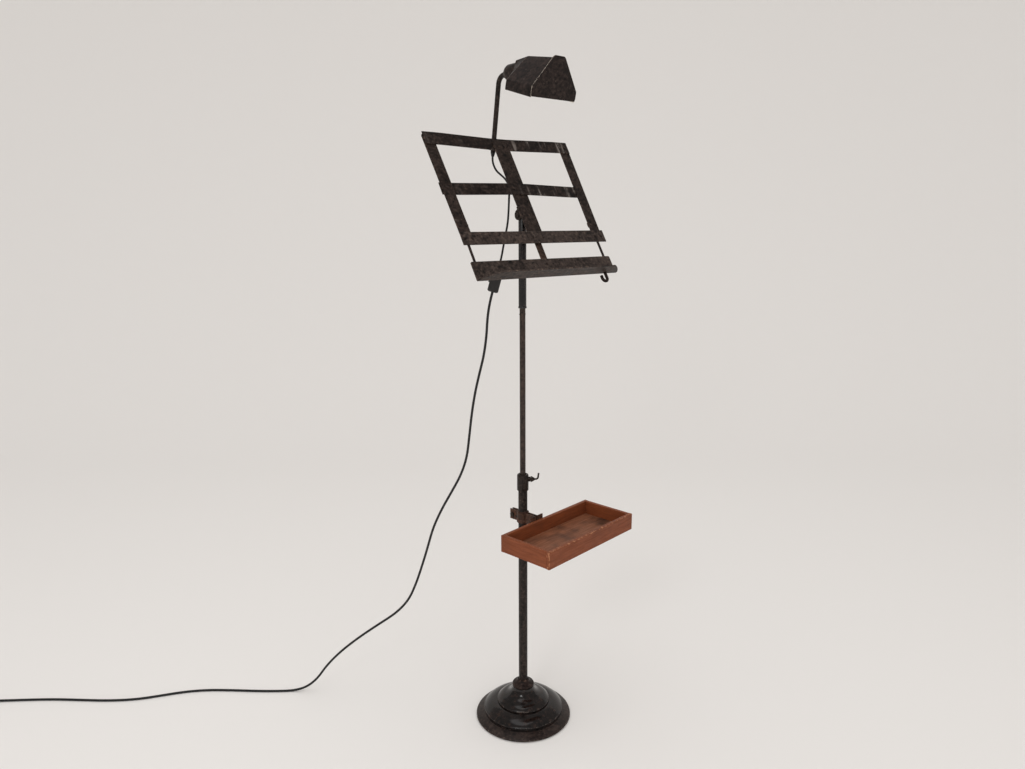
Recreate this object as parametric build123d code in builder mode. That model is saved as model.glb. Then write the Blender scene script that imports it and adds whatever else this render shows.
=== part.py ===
from build123d import *
import os
from math import cos, pi, radians, sin, sqrt, tan

os.makedirs("parts", exist_ok=True)

# Millimetres. +Z is up, -Y is the musician's side, and the origin is under the pole on the floor.

# Foot, poles and their clamp
foot_radius = 130
foot_top = 87
ring_top = 112
pole_outer = 10.7
pole_bore = 8.5
pole_bottom = 20
pole_top = 668
collar_bottom = 650
collar_top = 696
collar_radius = 14.3
rod_radius = 6.2
rod_bottom = 480
rod_top = 1318
pin_height = 1111
pin_radius = 2
pin_half = 9.5
run_gap = 0.06
screw_height = 681
screw_heading = -39

# Head sleeve and tilt hinge
sleeve_radius = 9.5
sleeve_bead = 10.5
sleeve_bottom = 1126
hinge_height = 1352
knuckle_radius = 11
knuckle_half = 10.7
bolt_radius = 4
lug_inside = 11
lug_thick = 3
lug_radius = 12.5
lug_reach = 22.5

# Desk: a plane that leans back, with u across it, s up its slope and n out of its front
lean = 31.7
desk_origin = Vector(0, -8, 1375)
strip = 3
slope = Vector(0, sin(radians(lean)), cos(radians(lean)))
front = Vector(0, -cos(radians(lean)), sin(radians(lean)))
across = Vector(1, 0, 0)
hinge_s = Vector(0, 8, hinge_height - desk_origin.Z).dot(slope)
hinge_n = Vector(0, 8, hinge_height - desk_origin.Z).dot(front)
upright_wide = 31
upright_top = 188
upright_foot = -100
upright_top_edge = 225.5
upright_foot_edge = 218
strut_half = 23
strut_top = 184
strut_corner = 7
top_bar = (158, 191)
middle_bar = (27.5, 58.5)
lower_bar = (-106, -73.5)
weave_inner = 30
weave_outer = 180
bar_half = 223
lower_left = 221
lower_right = 224
rivet_shank = 2.4
strut_rivet_u = 15.5

# Ledge, which slides down and up behind the desk
slide_gap = 0.3
ledge_left = 218
ledge_right = 215
ledge_top = -146.5
ledge_foot = -195
ledge_deep = 41
ledge_bend = 1
ledge_corner = 34
rod_u = 202
side_rod = 3
side_rod_top = -15
strip_half = 9.5
strip_top = 5
guide_high = -55
guide_low = -89.75
hook_u = 171
hook_rod = 3.8
hook_n = 4.5
hook_drop = 23
hook_wide = 24
hook_tip = 8

# Lamp
arm_radius = 6
arm_foot = Vector(0, 114, 1505)
arm_lean = 8.9
arm_height = 1680.6
arm_end = 48
arm_bend = 22
arm_boss = (1510, 1534)
arm_boss_radius = 10
sheet = 1.5
trough_back = -17
trough_front = -107
shade_lean = 14

# Tray, which turns and slides on the lower pole
tray_turn = 7.9
tray_bottom = 538
tray_tall = 43
tray_long = 336
tray_wide = 157
tray_centre_x = 35
tray_back_y = -48
board = 10
liner_radius = 13
strap_low = 565
strap_tall = 27
strap_thick = 3
ear_back = 40
ear_gap = 3

# Cord
thin_cord = 5
thick_cord = 6.4


def keep(piece, name):
    piece.part.label = name
    export_step(piece.part, f"parts/{name}.step")


def desk_point(u, s, n):
    return desk_origin + across * u + slope * s + front * n


def desk_sheet(n):
    """A plane along the desk at the depth n: its x is u and its y is s."""
    return Plane(origin=desk_point(0, 0, n), x_dir=across, z_dir=front)


def desk_cross(s):
    """A plane square to the slope at s: its x is u and its y is minus n."""
    return Plane(origin=desk_point(0, s, 0), x_dir=across, z_dir=slope)


def desk_side(u):
    """A plane square to the desk's width at u: its x is s and its y is n."""
    return Plane(origin=desk_point(u, 0, 0), x_dir=slope, z_dir=across)


# Foot and poles

with BuildPart() as base_foot:
    with BuildSketch(Plane.XZ):
        with BuildLine():
            Polyline((0, 0), (foot_radius - 3, 0))
            RadiusArc((foot_radius - 3, 0), (foot_radius, 3), -3)
            Polyline((foot_radius, 3), (foot_radius - 1.5, 6.5), (108, 14), (106.5, 15), (106.5, 23))
            ThreePointArc((106.5, 23), (107.6, 25), (106, 27))
            ThreePointArc((106, 27), (92, 38), (72, 44))
            Polyline((72, 44), (70, 44), (70, 46))
            ThreePointArc((70, 46), (71, 48), (69, 50))
            ThreePointArc((69, 50), (62, 56.5), (52, 61))
            ThreePointArc((52, 61), (37, 70), (29, foot_top))
            Polyline((29, foot_top), (0, foot_top), (0, 0))
        make_face()
    revolve(axis=Axis.Z)
    with Locations((0, 0, pole_bottom)):
        Cylinder(pole_outer, foot_top, align=(Align.CENTER, Align.CENTER, Align.MIN), mode=Mode.SUBTRACT)
keep(base_foot, "base_foot")

with BuildPart() as neck_ring:
    with BuildSketch(Plane.XZ):
        with BuildLine():
            Polyline((pole_outer, foot_top), (27, foot_top))
            ThreePointArc((27, foot_top), (29.5, 92.5), (26.5, 98))
            ThreePointArc((26.5, 98), (18, 102), (14.5, ring_top - 2))
            Polyline((14.5, ring_top - 2), (13, ring_top), (pole_outer, ring_top), (pole_outer, foot_top))
        make_face()
    revolve(axis=Axis.Z)
keep(neck_ring, "neck_ring")

with BuildPart() as lower_pole:
    with BuildSketch(Plane.XY.offset(pole_bottom)):
        Circle(pole_outer)
        Circle(pole_bore, mode=Mode.SUBTRACT)
    extrude(amount=pole_top - pole_bottom)
keep(lower_pole, "lower_pole")

screw_out = Vector(cos(radians(screw_heading)), sin(radians(screw_heading)), 0)
screw_up = Vector(0, 0, 1)
screw_plane = Plane(origin=(0, 0, screw_height), x_dir=screw_out, z_dir=screw_out.cross(screw_up))
boss_radius = 6.5
boss_end = 20
screw_radius = 3

with BuildPart() as clamp_collar:
    with BuildSketch(Plane.XZ):
        with BuildLine():
            Polyline(
                (pole_outer, collar_bottom), (14.6, collar_bottom), (15.6, collar_bottom + 1.5),
                (15.6, collar_bottom + 4), (collar_radius, collar_bottom + 5.5),
                (collar_radius, collar_top - 7), (12, collar_top - 1.5), (11.5, collar_top),
                (9, collar_top), (rod_radius + run_gap, collar_top - 4),
                (rod_radius + run_gap, pole_top), (pole_outer, pole_top), (pole_outer, collar_bottom),
            )
        make_face()
    revolve(axis=Axis.Z)
    with BuildSketch(Plane(origin=screw_plane.origin + screw_out * 10, x_dir=screw_up, z_dir=screw_out)):
        Circle(boss_radius)
    extrude(amount=boss_end - 10)
    with BuildSketch(Plane(origin=screw_plane.origin + screw_out * 4, x_dir=screw_up, z_dir=screw_out)):
        Circle(screw_radius + run_gap)
    extrude(amount=boss_end, mode=Mode.SUBTRACT)
    with BuildSketch(Plane.XY.offset(pole_top)):
        Circle(rod_radius + run_gap)
    extrude(amount=collar_top - pole_top, mode=Mode.SUBTRACT)
keep(clamp_collar, "clamp_collar")

with BuildPart() as clamp_screw:
    with BuildSketch(screw_plane):
        with BuildLine():
            Polyline(
                (rod_radius + 0.4, 0), (rod_radius + 0.4, screw_radius), (boss_end + 0.4, screw_radius),
                (boss_end + 0.4, 7.5), (boss_end + 3, 7.5), (31, 3), (31, 0), (rod_radius + 0.4, 0),
            )
        make_face()
    revolve(axis=Axis(screw_plane.origin, screw_out))
    with BuildLine(screw_plane):
        FilletPolyline((30, 0), (39, 0), (41, 16), radius=6)
    with BuildSketch(Plane(origin=screw_plane.origin + screw_out * 30, x_dir=screw_up, z_dir=screw_out)):
        Circle(2.3)
    sweep()
keep(clamp_screw, "clamp_screw")

with BuildPart() as upper_pole:
    with BuildSketch(Plane.XY.offset(rod_bottom)):
        Circle(rod_radius)
    extrude(amount=rod_top - rod_bottom)
    with BuildSketch(Plane.YZ.offset(-rod_radius * 2)):
        with Locations((0, pin_height)):
            Circle(pin_radius)
    extrude(amount=rod_radius * 4, mode=Mode.SUBTRACT)
keep(upper_pole, "upper_pole")

with BuildPart() as rod_foot:
    with BuildSketch(Plane.XY.offset(rod_bottom)):
        Circle(pole_bore - run_gap)
    extrude(amount=-16)
    chamfer(rod_foot.faces().sort_by(Axis.Z)[0].edges(), 1.5)
keep(rod_foot, "rod_foot")

with BuildPart() as stop_pin:
    with BuildSketch(Plane.YZ.offset(-pin_half)):
        with Locations((0, pin_height)):
            Circle(pin_radius)
    extrude(amount=2 * pin_half)
    chamfer(stop_pin.edges().filter_by(GeomType.CIRCLE), 0.6)
keep(stop_pin, "stop_pin")

# Head sleeve, hinge bolt, wing nut and lugs

with BuildPart() as head_sleeve:
    with BuildSketch(Plane.XZ):
        with BuildLine():
            Polyline(
                (0, sleeve_bottom), (sleeve_bead, sleeve_bottom), (sleeve_bead, sleeve_bottom + 4),
                (sleeve_radius, sleeve_bottom + 5), (sleeve_radius, hinge_height - 5), (0, hinge_height - 5),
                (0, sleeve_bottom),
            )
        make_face()
    revolve(axis=Axis.Z)
    with BuildSketch(Plane.YZ.offset(-knuckle_half)):
        with Locations((0, hinge_height)):
            Circle(knuckle_radius)
    extrude(amount=2 * knuckle_half)
    with BuildSketch(Plane.XY.offset(sleeve_bottom)):
        Circle(rod_radius + run_gap)
    extrude(amount=rod_top + 0.4 - sleeve_bottom, mode=Mode.SUBTRACT)
    with BuildSketch(Plane.YZ.offset(-knuckle_half)):
        with Locations((0, hinge_height)):
            Circle(bolt_radius)
    extrude(amount=2 * knuckle_half, mode=Mode.SUBTRACT)
keep(head_sleeve, "head_sleeve")

lug_outside = lug_inside + lug_thick
nut_inner = lug_outside + 0.4
nut_hub_end = 19
nut_end = 25
wing_half = 10.5
bolt_head = 3

with BuildPart() as hinge_bolt:
    with BuildSketch(Plane.YZ.offset(-lug_outside - bolt_head - 0.4)):
        with Locations((0, hinge_height)):
            RegularPolygon(6, 6)
    extrude(amount=bolt_head)
    chamfer(hinge_bolt.faces().sort_by(Axis.X)[0].edges(), 0.6)
    with BuildSketch(Plane.YZ.offset(-lug_outside - 1)):
        with Locations((0, hinge_height)):
            Circle(bolt_radius)
    extrude(amount=lug_outside + 1 + nut_end + 3)
keep(hinge_bolt, "hinge_bolt")

with BuildPart() as wing_nut:
    with BuildSketch(Plane(origin=(0, 0, hinge_height), x_dir=(1, 0, 0), z_dir=(0, -1, 0))):
        with BuildLine():
            Polyline(
                (nut_inner, 0), (nut_inner, 8), (nut_hub_end, 7), (nut_end, 5.8), (nut_end, 0), close=True
            )
        make_face()
    revolve(axis=Axis((0, 0, hinge_height), (1, 0, 0)))
    with BuildSketch(Plane(origin=(0, -1.6, hinge_height), x_dir=(1, 0, 0), z_dir=(0, 1, 0))):
        for side in (1, -1):
            with BuildLine():
                root = (nut_hub_end + 1, wing_half * 0.7 * side)
                tip = (nut_hub_end + 9, wing_half * 0.7 * side)
                Polyline((nut_hub_end, 0), (nut_hub_end, 6 * side), root)
                ThreePointArc(root, (nut_hub_end + 6, wing_half * side), tip)
                Polyline(tip, (nut_end, 5 * side), (nut_end, 0), (nut_hub_end, 0))
            make_face()
    extrude(amount=3.2)
    with BuildSketch(Plane.YZ):
        with Locations((0, hinge_height)):
            Circle(bolt_radius + run_gap)
    extrude(amount=nut_end + 20, mode=Mode.SUBTRACT)
keep(wing_nut, "wing_nut")

lug_low = hinge_s - lug_radius
lug_high = hinge_s + lug_radius
lug_rivet_u = 18.2
lug_rivet_s = (hinge_s - 7.5, hinge_s + 7.5)

for name, side in (("hinge_lug_left", -1), ("hinge_lug_right", 1)):
    with BuildPart() as hinge_lug:
        with BuildSketch(desk_side(side * lug_inside)):
            with Locations(((lug_low + lug_high) / 2, (hinge_n - strip) / 2)):
                Rectangle(lug_high - lug_low, -strip - hinge_n)
            with Locations((hinge_s, hinge_n)):
                Circle(lug_radius)
                Circle(bolt_radius + run_gap, mode=Mode.SUBTRACT)
        extrude(amount=side * lug_thick)
        with BuildSketch(desk_sheet(-2 * strip)):
            with Locations((side * (lug_inside + lug_reach) / 2, hinge_s)):
                Rectangle(lug_reach - lug_inside, lug_high - lug_low)
        extrude(amount=strip)
        with BuildSketch(desk_sheet(-3 * strip)):
            with Locations(*[(side * lug_rivet_u, s) for s in lug_rivet_s]):
                Circle(rivet_shank)
        extrude(amount=3 * strip, mode=Mode.SUBTRACT)
    keep(hinge_lug, name)

# Desk strips, laid over and under each other


def upright_edge(s):
    share = (s - upright_foot) / (upright_top - upright_foot)
    return upright_foot_edge + share * (upright_top_edge - upright_foot_edge)


def bar_middle(bar):
    return (bar[0] + bar[1]) / 2


saddle_rivet = 9.8
guide_rivets = [(rod_u + step, guide_high) for step in (-saddle_rivet, saddle_rivet)]
lower_end_rivets = [(rod_u + step, guide_low) for step in (-saddle_rivet, saddle_rivet)]
holder_rivets = [(-9, 166), (9, 166)]
middle_rivets = [(side * strut_rivet_u, bar_middle(middle_bar)) for side in (-1, 1)]
lower_rivets = [(side * strut_rivet_u, bar_middle(lower_bar)) for side in (-1, 1)]
side_rivets = [
    (upright_edge(bar_middle(bar)) - upright_wide / 2, bar_middle(bar)) for bar in (top_bar, middle_bar)
]

for name, side, corner in (("left_upright", -1, 8), ("right_upright", 1, 20)):
    with BuildPart() as upright:
        with BuildSketch(desk_sheet(-strip)) as outline:
            with BuildLine():
                Polyline(
                    (side * upright_top_edge, upright_top), (side * upright_foot_edge, upright_foot),
                    (side * (upright_foot_edge - upright_wide), upright_foot),
                    (side * (upright_top_edge - upright_wide), upright_top), close=True,
                )
            make_face()
            outer = outline.vertices().group_by(Axis.Z)[-1].sort_by(Axis.X)[0 if side < 0 else -1]
            fillet(outer, corner)
            with Locations(*[(side * u, s) for u, s in side_rivets + guide_rivets + lower_end_rivets]):
                Circle(rivet_shank, mode=Mode.SUBTRACT)
        extrude(amount=strip)
    keep(upright, name)

with BuildPart() as centre_strut:
    with BuildSketch(desk_sheet(-strip)) as outline:
        with Locations((0, (strut_top + upright_foot) / 2)):
            Rectangle(2 * strut_half, strut_top - upright_foot)
        fillet(outline.vertices().group_by(Axis.Z)[-1], strut_corner)
        lug_rivets = [(side * lug_rivet_u, s) for side in (-1, 1) for s in lug_rivet_s]
        with Locations(*(lug_rivets + holder_rivets + middle_rivets + lower_rivets)):
            Circle(rivet_shank, mode=Mode.SUBTRACT)
    extrude(amount=strip)
keep(centre_strut, "centre_strut")


def woven_bar(name, bar, centre, rivets):
    """A flat strip with its middle at the depth centre and its ends on the other side of the uprights."""
    ends = -strip - centre
    with BuildPart() as woven:
        with BuildSketch(desk_cross(bar[0])):
            with BuildLine():
                path = [(bar_half, ends), (weave_outer, ends), (weave_inner, centre)]
                path = [(-u, n) for u, n in path] + path[::-1]
                back = [(u, -n + strip / 2) for u, n in path]
                face = [(u, -n - strip / 2) for u, n in path]
                Polyline(*back, *face[::-1], close=True)
            make_face()
        extrude(amount=bar[1] - bar[0])
        with BuildSketch(desk_sheet(-5 * strip)):
            with Locations(*rivets):
                Circle(rivet_shank)
        extrude(amount=10 * strip, mode=Mode.SUBTRACT)
    keep(woven, name)


def both_sides(u, s):
    return [(-u, s), (u, s)]


woven_bar("top_bar", top_bar, -1.5 * strip, both_sides(*side_rivets[0]) + holder_rivets)
woven_bar("middle_bar", middle_bar, 0.5 * strip, both_sides(*side_rivets[1]) + middle_rivets)

with BuildPart() as lower_strip:
    with BuildSketch(desk_sheet(0)) as outline:
        with Locations(((lower_right - lower_left) / 2, bar_middle(lower_bar))):
            Rectangle(lower_left + lower_right, lower_bar[1] - lower_bar[0])
        fillet(outline.vertices(), 2)
        with Locations(*(both_sides(*lower_end_rivets[0]) + both_sides(*lower_end_rivets[1]) + lower_rivets)):
            Circle(rivet_shank, mode=Mode.SUBTRACT)
    extrude(amount=strip)
keep(lower_strip, "lower_bar")

head_radius = 4.2
head_tall = 1.8


def rivet(place, back, face):
    """A rivet through the stack from the depth back to the depth face, with a low head at each end."""
    section = Plane(origin=desk_point(place[0], place[1], 0), x_dir=across, z_dir=slope.reverse())
    with BuildSketch(section) as profile:
        with BuildLine():
            Polyline(
                (0, back - head_tall), (2.2, back - head_tall), (head_radius, back), (rivet_shank, back),
                (rivet_shank, face), (head_radius, face), (2.2, face + head_tall), (0, face + head_tall),
                close=True,
            )
        make_face()
    revolve(profile.sketch, axis=Axis(section.origin, front))


guide_thick = 1.6
with BuildPart() as desk_rivets:
    for side in (-1, 1):
        rivet((side * side_rivets[0][0], side_rivets[0][1]), -strip, strip)
        rivet((side * side_rivets[1][0], side_rivets[1][1]), -2 * strip, 0)
        for s in lug_rivet_s:
            rivet((side * lug_rivet_u, s), -2 * strip, 0)
        for u, s in guide_rivets:
            rivet((side * u, s), -strip - guide_thick, 0)
        for u, s in lower_end_rivets:
            rivet((side * u, s), -strip - guide_thick, strip)
    for place in holder_rivets:
        rivet(place, -3 * strip, 0)
    for place in middle_rivets + lower_rivets:
        rivet(place, -strip, strip)
keep(desk_rivets, "desk_rivets")

side_rod_n = -strip - slide_gap - side_rod
guide_bore = side_rod + slide_gap
guide_half = 14
guide_long = 12
with BuildPart() as rod_guides:
    for side in (-1, 1):
        for s in (guide_high, guide_low):
            with BuildSketch(desk_cross(s - guide_long / 2)):
                with Locations((side * rod_u, strip + guide_thick / 2)):
                    Rectangle(2 * guide_half, guide_thick)
                with Locations((side * rod_u, -side_rod_n)):
                    Circle(guide_bore + guide_thick)
                with Locations((side * rod_u, 0)):
                    Rectangle(2 * guide_half, 2 * strip, mode=Mode.SUBTRACT)
                with Locations((side * rod_u, -side_rod_n)):
                    Circle(guide_bore, mode=Mode.SUBTRACT)
                with Locations((side * rod_u, (strip - side_rod_n) / 2)):
                    Rectangle(2 * guide_bore, -side_rod_n - strip, mode=Mode.SUBTRACT)
            extrude(amount=guide_long)
    with BuildSketch(desk_sheet(-5 * strip)):
        with Locations(*[(side * u, s) for side in (-1, 1) for u, s in guide_rivets + lower_end_rivets]):
            Circle(rivet_shank)
    extrude(amount=5 * strip, mode=Mode.SUBTRACT)
keep(rod_guides, "rod_guides")

# Ledge

ledge_face = -slide_gap
ledge_back = ledge_face - strip
ledge_front = ledge_back + ledge_deep
shelf_top = ledge_foot + strip
side_tab_s = ledge_foot + 12
ledge_rivets_at = both_sides(rod_u, side_tab_s) + [(0, -160), (0, -178)]
outer_bend = ledge_bend + strip
bend_end = ledge_foot + outer_bend

with BuildPart() as ledge:
    with BuildSketch(desk_side(-ledge_left)):
        with BuildLine():
            Line((ledge_top, ledge_back), (ledge_top, ledge_face))
            Line((ledge_top, ledge_face), (shelf_top + ledge_bend, ledge_face))
            RadiusArc((shelf_top + ledge_bend, ledge_face), (shelf_top, ledge_face + ledge_bend), -ledge_bend)
            Line((shelf_top, ledge_face + ledge_bend), (shelf_top, ledge_front))
            Line((shelf_top, ledge_front), (ledge_foot, ledge_front))
            Line((ledge_foot, ledge_front), (ledge_foot, ledge_back + outer_bend))
            RadiusArc((ledge_foot, ledge_back + outer_bend), (bend_end, ledge_back), outer_bend)
            Line((bend_end, ledge_back), (ledge_top, ledge_back))
        make_face()
    extrude(amount=ledge_left + ledge_right)
    across_sheet = ledge.edges().filter_by(Axis((0, 0, 0), front))
    fillet(across_sheet.group_by(Axis((0, 0, 0), slope))[-1], 4)
    across_shelf = ledge.edges().filter_by(Axis((0, 0, 0), slope))
    fillet(across_shelf.group_by(Axis((0, 0, 0), front))[-1], ledge_corner)
    with BuildSketch(desk_sheet(ledge_back)):
        with Locations(*ledge_rivets_at):
            Circle(rivet_shank)
    extrude(amount=strip, mode=Mode.SUBTRACT)
keep(ledge, "ledge")

tab_wide = 11
tab_tall = 17
for name, side in (("ledge_rod_left", -1), ("ledge_rod_right", 1)):
    with BuildPart() as ledge_rod:
        with BuildSketch(desk_cross(ledge_foot + 20)):
            with Locations((side * rod_u, -side_rod_n)):
                Circle(side_rod)
        extrude(amount=side_rod_top - ledge_foot - 20)
        with BuildSketch(desk_sheet(ledge_back)) as tab:
            with Locations((side * rod_u, bend_end + tab_tall / 2)):
                Rectangle(tab_wide, tab_tall)
            fillet(tab.vertices(), 3)
            with Locations((side * rod_u, side_tab_s)):
                Circle(rivet_shank, mode=Mode.SUBTRACT)
        extrude(amount=-side_rod)
    keep(ledge_rod, name)

with BuildPart() as ledge_centre_strip:
    with BuildSketch(desk_sheet(ledge_back)) as outline:
        with Locations((0, (strip_top + bend_end) / 2)):
            Rectangle(2 * strip_half, strip_top - bend_end)
        fillet(outline.vertices().group_by(Axis.Z)[-1], 6)
        with Locations(*ledge_rivets_at[2:]):
            Circle(rivet_shank, mode=Mode.SUBTRACT)
    extrude(amount=-strip)
keep(ledge_centre_strip, "ledge_centre_strip")

with BuildPart() as ledge_rivets:
    for place in ledge_rivets_at:
        rivet(place, ledge_back - strip, ledge_face)
keep(ledge_rivets, "ledge_rivets")

hook_span = hook_wide - 2 * hook_rod
hook_root = desk_point(hook_u, ledge_foot, hook_n)
hook_plane = Plane(origin=hook_root, x_dir=across, z_dir=front)
with BuildPart() as ledge_hook:
    with BuildLine(hook_plane):
        FilletPolyline(
            (0, 0), (0, -hook_drop), (-hook_span, -hook_drop), (-hook_span, -hook_tip),
            radius=hook_wide / 2 - hook_rod - 0.2,
        )
    with BuildSketch(Plane(origin=hook_root, x_dir=across, z_dir=slope.reverse())):
        Circle(hook_rod)
    sweep()
keep(ledge_hook, "ledge_hook")

# Lamp: its holder, screw, bent arm and shade

arm_up = Vector(0, -sin(radians(arm_lean)), cos(radians(arm_lean)))


def arm_point(height):
    return arm_foot + arm_up * ((height - arm_foot.Z) / arm_up.Z)


boss_low = arm_point(arm_boss[0])
boss_long = (arm_point(arm_boss[1]) - boss_low).length
boss_centre = boss_low + arm_up * (boss_long / 2)
boss_s = (boss_centre - desk_origin).dot(slope)
boss_n = (boss_centre - desk_origin).dot(front)
holder_low = 160
holder_high = 190
holder_half = 15
arm_screw_radius = 2.5

with BuildPart() as arm_holder:
    with BuildSketch(desk_sheet(-2 * strip)):
        with Locations((0, (holder_low + holder_high) / 2)):
            Rectangle(2 * holder_half, holder_high - holder_low)
        with Locations(*holder_rivets):
            Circle(rivet_shank, mode=Mode.SUBTRACT)
    extrude(amount=-strip)
    with BuildSketch(desk_side(-5)):
        with BuildLine():
            Polyline(
                (holder_low + 12, -3 * strip + 1), (holder_high, -3 * strip + 1),
                (boss_s + 4, boss_n + 4), (boss_s - 6, boss_n), close=True,
            )
        make_face()
    extrude(amount=10)
    with BuildSketch(Plane(origin=boss_low, x_dir=across, z_dir=arm_up)):
        Circle(arm_boss_radius)
    extrude(amount=boss_long)
    with BuildSketch(Plane(origin=boss_centre, x_dir=arm_up, z_dir=across)):
        Circle(5)
    extrude(amount=12)
    with BuildSketch(Plane(origin=boss_low - arm_up, x_dir=across, z_dir=arm_up)):
        Circle(arm_radius + run_gap)
    extrude(amount=boss_long + 2, mode=Mode.SUBTRACT)
    with BuildSketch(Plane(origin=boss_centre, x_dir=arm_up, z_dir=across)):
        Circle(arm_screw_radius + run_gap)
    extrude(amount=20, mode=Mode.SUBTRACT)
keep(arm_holder, "arm_holder")

with BuildPart() as arm_screw:
    with BuildSketch(Plane(origin=boss_centre + across * (arm_radius + 0.4), x_dir=arm_up, z_dir=across)):
        Circle(arm_screw_radius)
    extrude(amount=12)
    with BuildSketch(Plane(origin=boss_centre + across * 12.5, x_dir=arm_up, z_dir=across)):
        Circle(7)
        with PolarLocations(7.6, 12):
            Circle(1.2, mode=Mode.SUBTRACT)
    extrude(amount=7)
keep(arm_screw, "arm_screw")

arm_corner = arm_point(arm_height)
with BuildPart() as lamp_arm:
    with BuildLine(Plane.YZ):
        FilletPolyline(
            (arm_foot.Y, arm_foot.Z), (arm_corner.Y, arm_height), (arm_end, arm_height), radius=arm_bend
        )
    with BuildSketch(Plane(origin=arm_foot, x_dir=across, z_dir=arm_up)):
        Circle(arm_radius)
    sweep()
keep(lamp_arm, "lamp_arm")

grommet_long = 10
with BuildPart() as arm_grommet:
    with BuildSketch(Plane(origin=arm_foot, x_dir=across, z_dir=arm_up)):
        Circle(arm_radius)
    with BuildSketch(Plane(origin=arm_foot - arm_up * grommet_long, x_dir=across, z_dir=arm_up)):
        Circle(thin_cord / 2 + 0.8)
    loft()
keep(arm_grommet, "arm_grommet")

cup_front = 6
cup_back = 54
cup_radius = 20
lamp_axis = Axis((0, 0, arm_height), (0, -1, 0))


def lamp_section(points):
    """Turn a profile of (distance along Y, radius) points about the lamp's axis."""
    with BuildPart() as turned:
        with BuildSketch(Plane.YZ):
            with BuildLine():
                Polyline(*[(y, arm_height + r) for y, r in points], close=True)
            make_face()
        revolve(axis=lamp_axis)
    return turned


bore = arm_radius + run_gap
arm_collar = lamp_section(
    [
        (cup_back, bore), (cup_back, 8.5), (cup_back + 1.5, 9), (cup_back + 8, 9), (cup_back + 10, 7),
        (cup_back + 10, bore),
    ]
)
keep(arm_collar, "arm_collar")

socket_cup = lamp_section(
    [
        (cup_front, cup_radius), (cup_back - 12, cup_radius), (cup_back - 5, cup_radius - 3),
        (cup_back - 1, cup_radius - 8), (cup_back, cup_radius - 11), (cup_back, bore), (cup_back - 4, bore),
        (cup_back - 4, cup_radius - 8), (cup_back - 12, cup_radius - sheet), (cup_front, cup_radius - sheet),
    ]
)
keep(socket_cup, "socket_cup")

holder_back = cup_back - 10
lampholder = lamp_section(
    [
        (cup_back - 4, 9), (cup_back - 4, 11.5), (holder_back, 15), (-10, 15), (-10, 13.6), (34, 13.6),
        (34, 0), (arm_end - 5, 0), (arm_end - 5, bore), (arm_end, bore), (arm_end, 9),
    ]
)
keep(lampholder, "lampholder")

bulb_cap = lamp_section([(33.5, 0), (33.5, 6), (30, 13.2), (-14, 13.2), (-14, 0)])
keep(bulb_cap, "bulb_cap")

bulb_radius = 12.5
bulb_tip = -84
with BuildPart() as bulb:
    with BuildSketch(Plane.YZ):
        with BuildLine():
            Polyline(
                (bulb_tip + bulb_radius, arm_height + bulb_radius), (-18, arm_height + bulb_radius),
                (-14, arm_height + 11), (-14, arm_height), (bulb_tip, arm_height),
            )
            RadiusArc(
                (bulb_tip, arm_height), (bulb_tip + bulb_radius, arm_height + bulb_radius), bulb_radius
            )
        make_face()
    revolve(axis=lamp_axis)
keep(bulb, "bulb")


def shade_plane(y, rim, tilt):
    """A plane through the rim at y with its top tilted forward: its x runs across and its y runs up it."""
    ahead = Vector(0, -cos(radians(tilt)), -sin(radians(tilt)))
    return Plane(origin=(0, y, rim), x_dir=(1, 0, 0), z_dir=ahead)


def tent(ridge, lip, rim, top_half, bottom_half):
    """The six corners of a tent section, from the rim at -X over the ridge to the rim at +X."""
    left = [(-bottom_half, rim), (-bottom_half, lip), (-top_half, ridge)]
    return left + [(-x, z) for x, z in left[::-1]]


def on_tilt(corners, rim, tilt):
    """Corners given by their heights, as points of the tilted plane through the rim."""
    return [(x, (z - rim) / cos(radians(tilt))) for x, z in corners]


def tent_solid(sections, mode):
    """A straight-sided solid through tent sections, each with its place along Y, its rim and its tilt."""
    profiles = []
    for y, rim, tilt, corners in sections:
        with BuildSketch(shade_plane(y, rim, tilt)) as profile:
            with BuildLine():
                Polyline(*on_tilt(corners, rim, tilt), close=True)
            make_face()
        profiles.append(profile.sketch)
    loft(profiles, ruled=True, mode=mode)


back_tent = (1708.2, 1650, 1631, 12, 65)
front_tent = (1693, 1626.5, 1606.5, 15, 65)
neck_tent = (1703, 1672, 1660, 13, 24)


def inside(section, below):
    ridge, lip, rim, top_half, bottom_half = section
    return tent(ridge - sheet, lip - sheet * 0.5, rim + below, top_half - sheet * 0.5, bottom_half - sheet)


at_neck = (cup_front, neck_tent[2], 0)
at_back = (trough_back, back_tent[2], shade_lean)
at_front = (trough_front, front_tent[2], shade_lean)

with BuildPart() as shade_trough:
    tent_solid([(*at_back, tent(*back_tent)), (*at_front, tent(*front_tent))], Mode.ADD)
    tent_solid([(*at_back, inside(back_tent, -5)), (*at_front, inside(front_tent, -5))], Mode.SUBTRACT)
keep(shade_trough, "shade_trough")

with BuildPart() as shade_back:
    tent_solid([(*at_neck, tent(*neck_tent)), (*at_back, tent(*back_tent))], Mode.ADD)
    tent_solid([(*at_neck, inside(neck_tent, sheet)), (*at_back, inside(back_tent, sheet))], Mode.SUBTRACT)
keep(shade_back, "shade_back")

front_plate = tuple(size + more for size, more in zip(front_tent, (5, 1.5, 2.5, 1, 1.5)))
with BuildPart() as shade_front:
    with BuildSketch(shade_plane(*at_front)) as outline:
        with BuildLine():
            Polyline(*on_tilt(tent(*front_plate), *at_front[1:]), close=True)
        make_face()
        fillet(outline.vertices().group_by(Axis.Z)[-1], 4)
    extrude(amount=2)
keep(shade_front, "shade_front")

# Tray: five boards, and two straps that hug a bush on the lower pole

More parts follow.
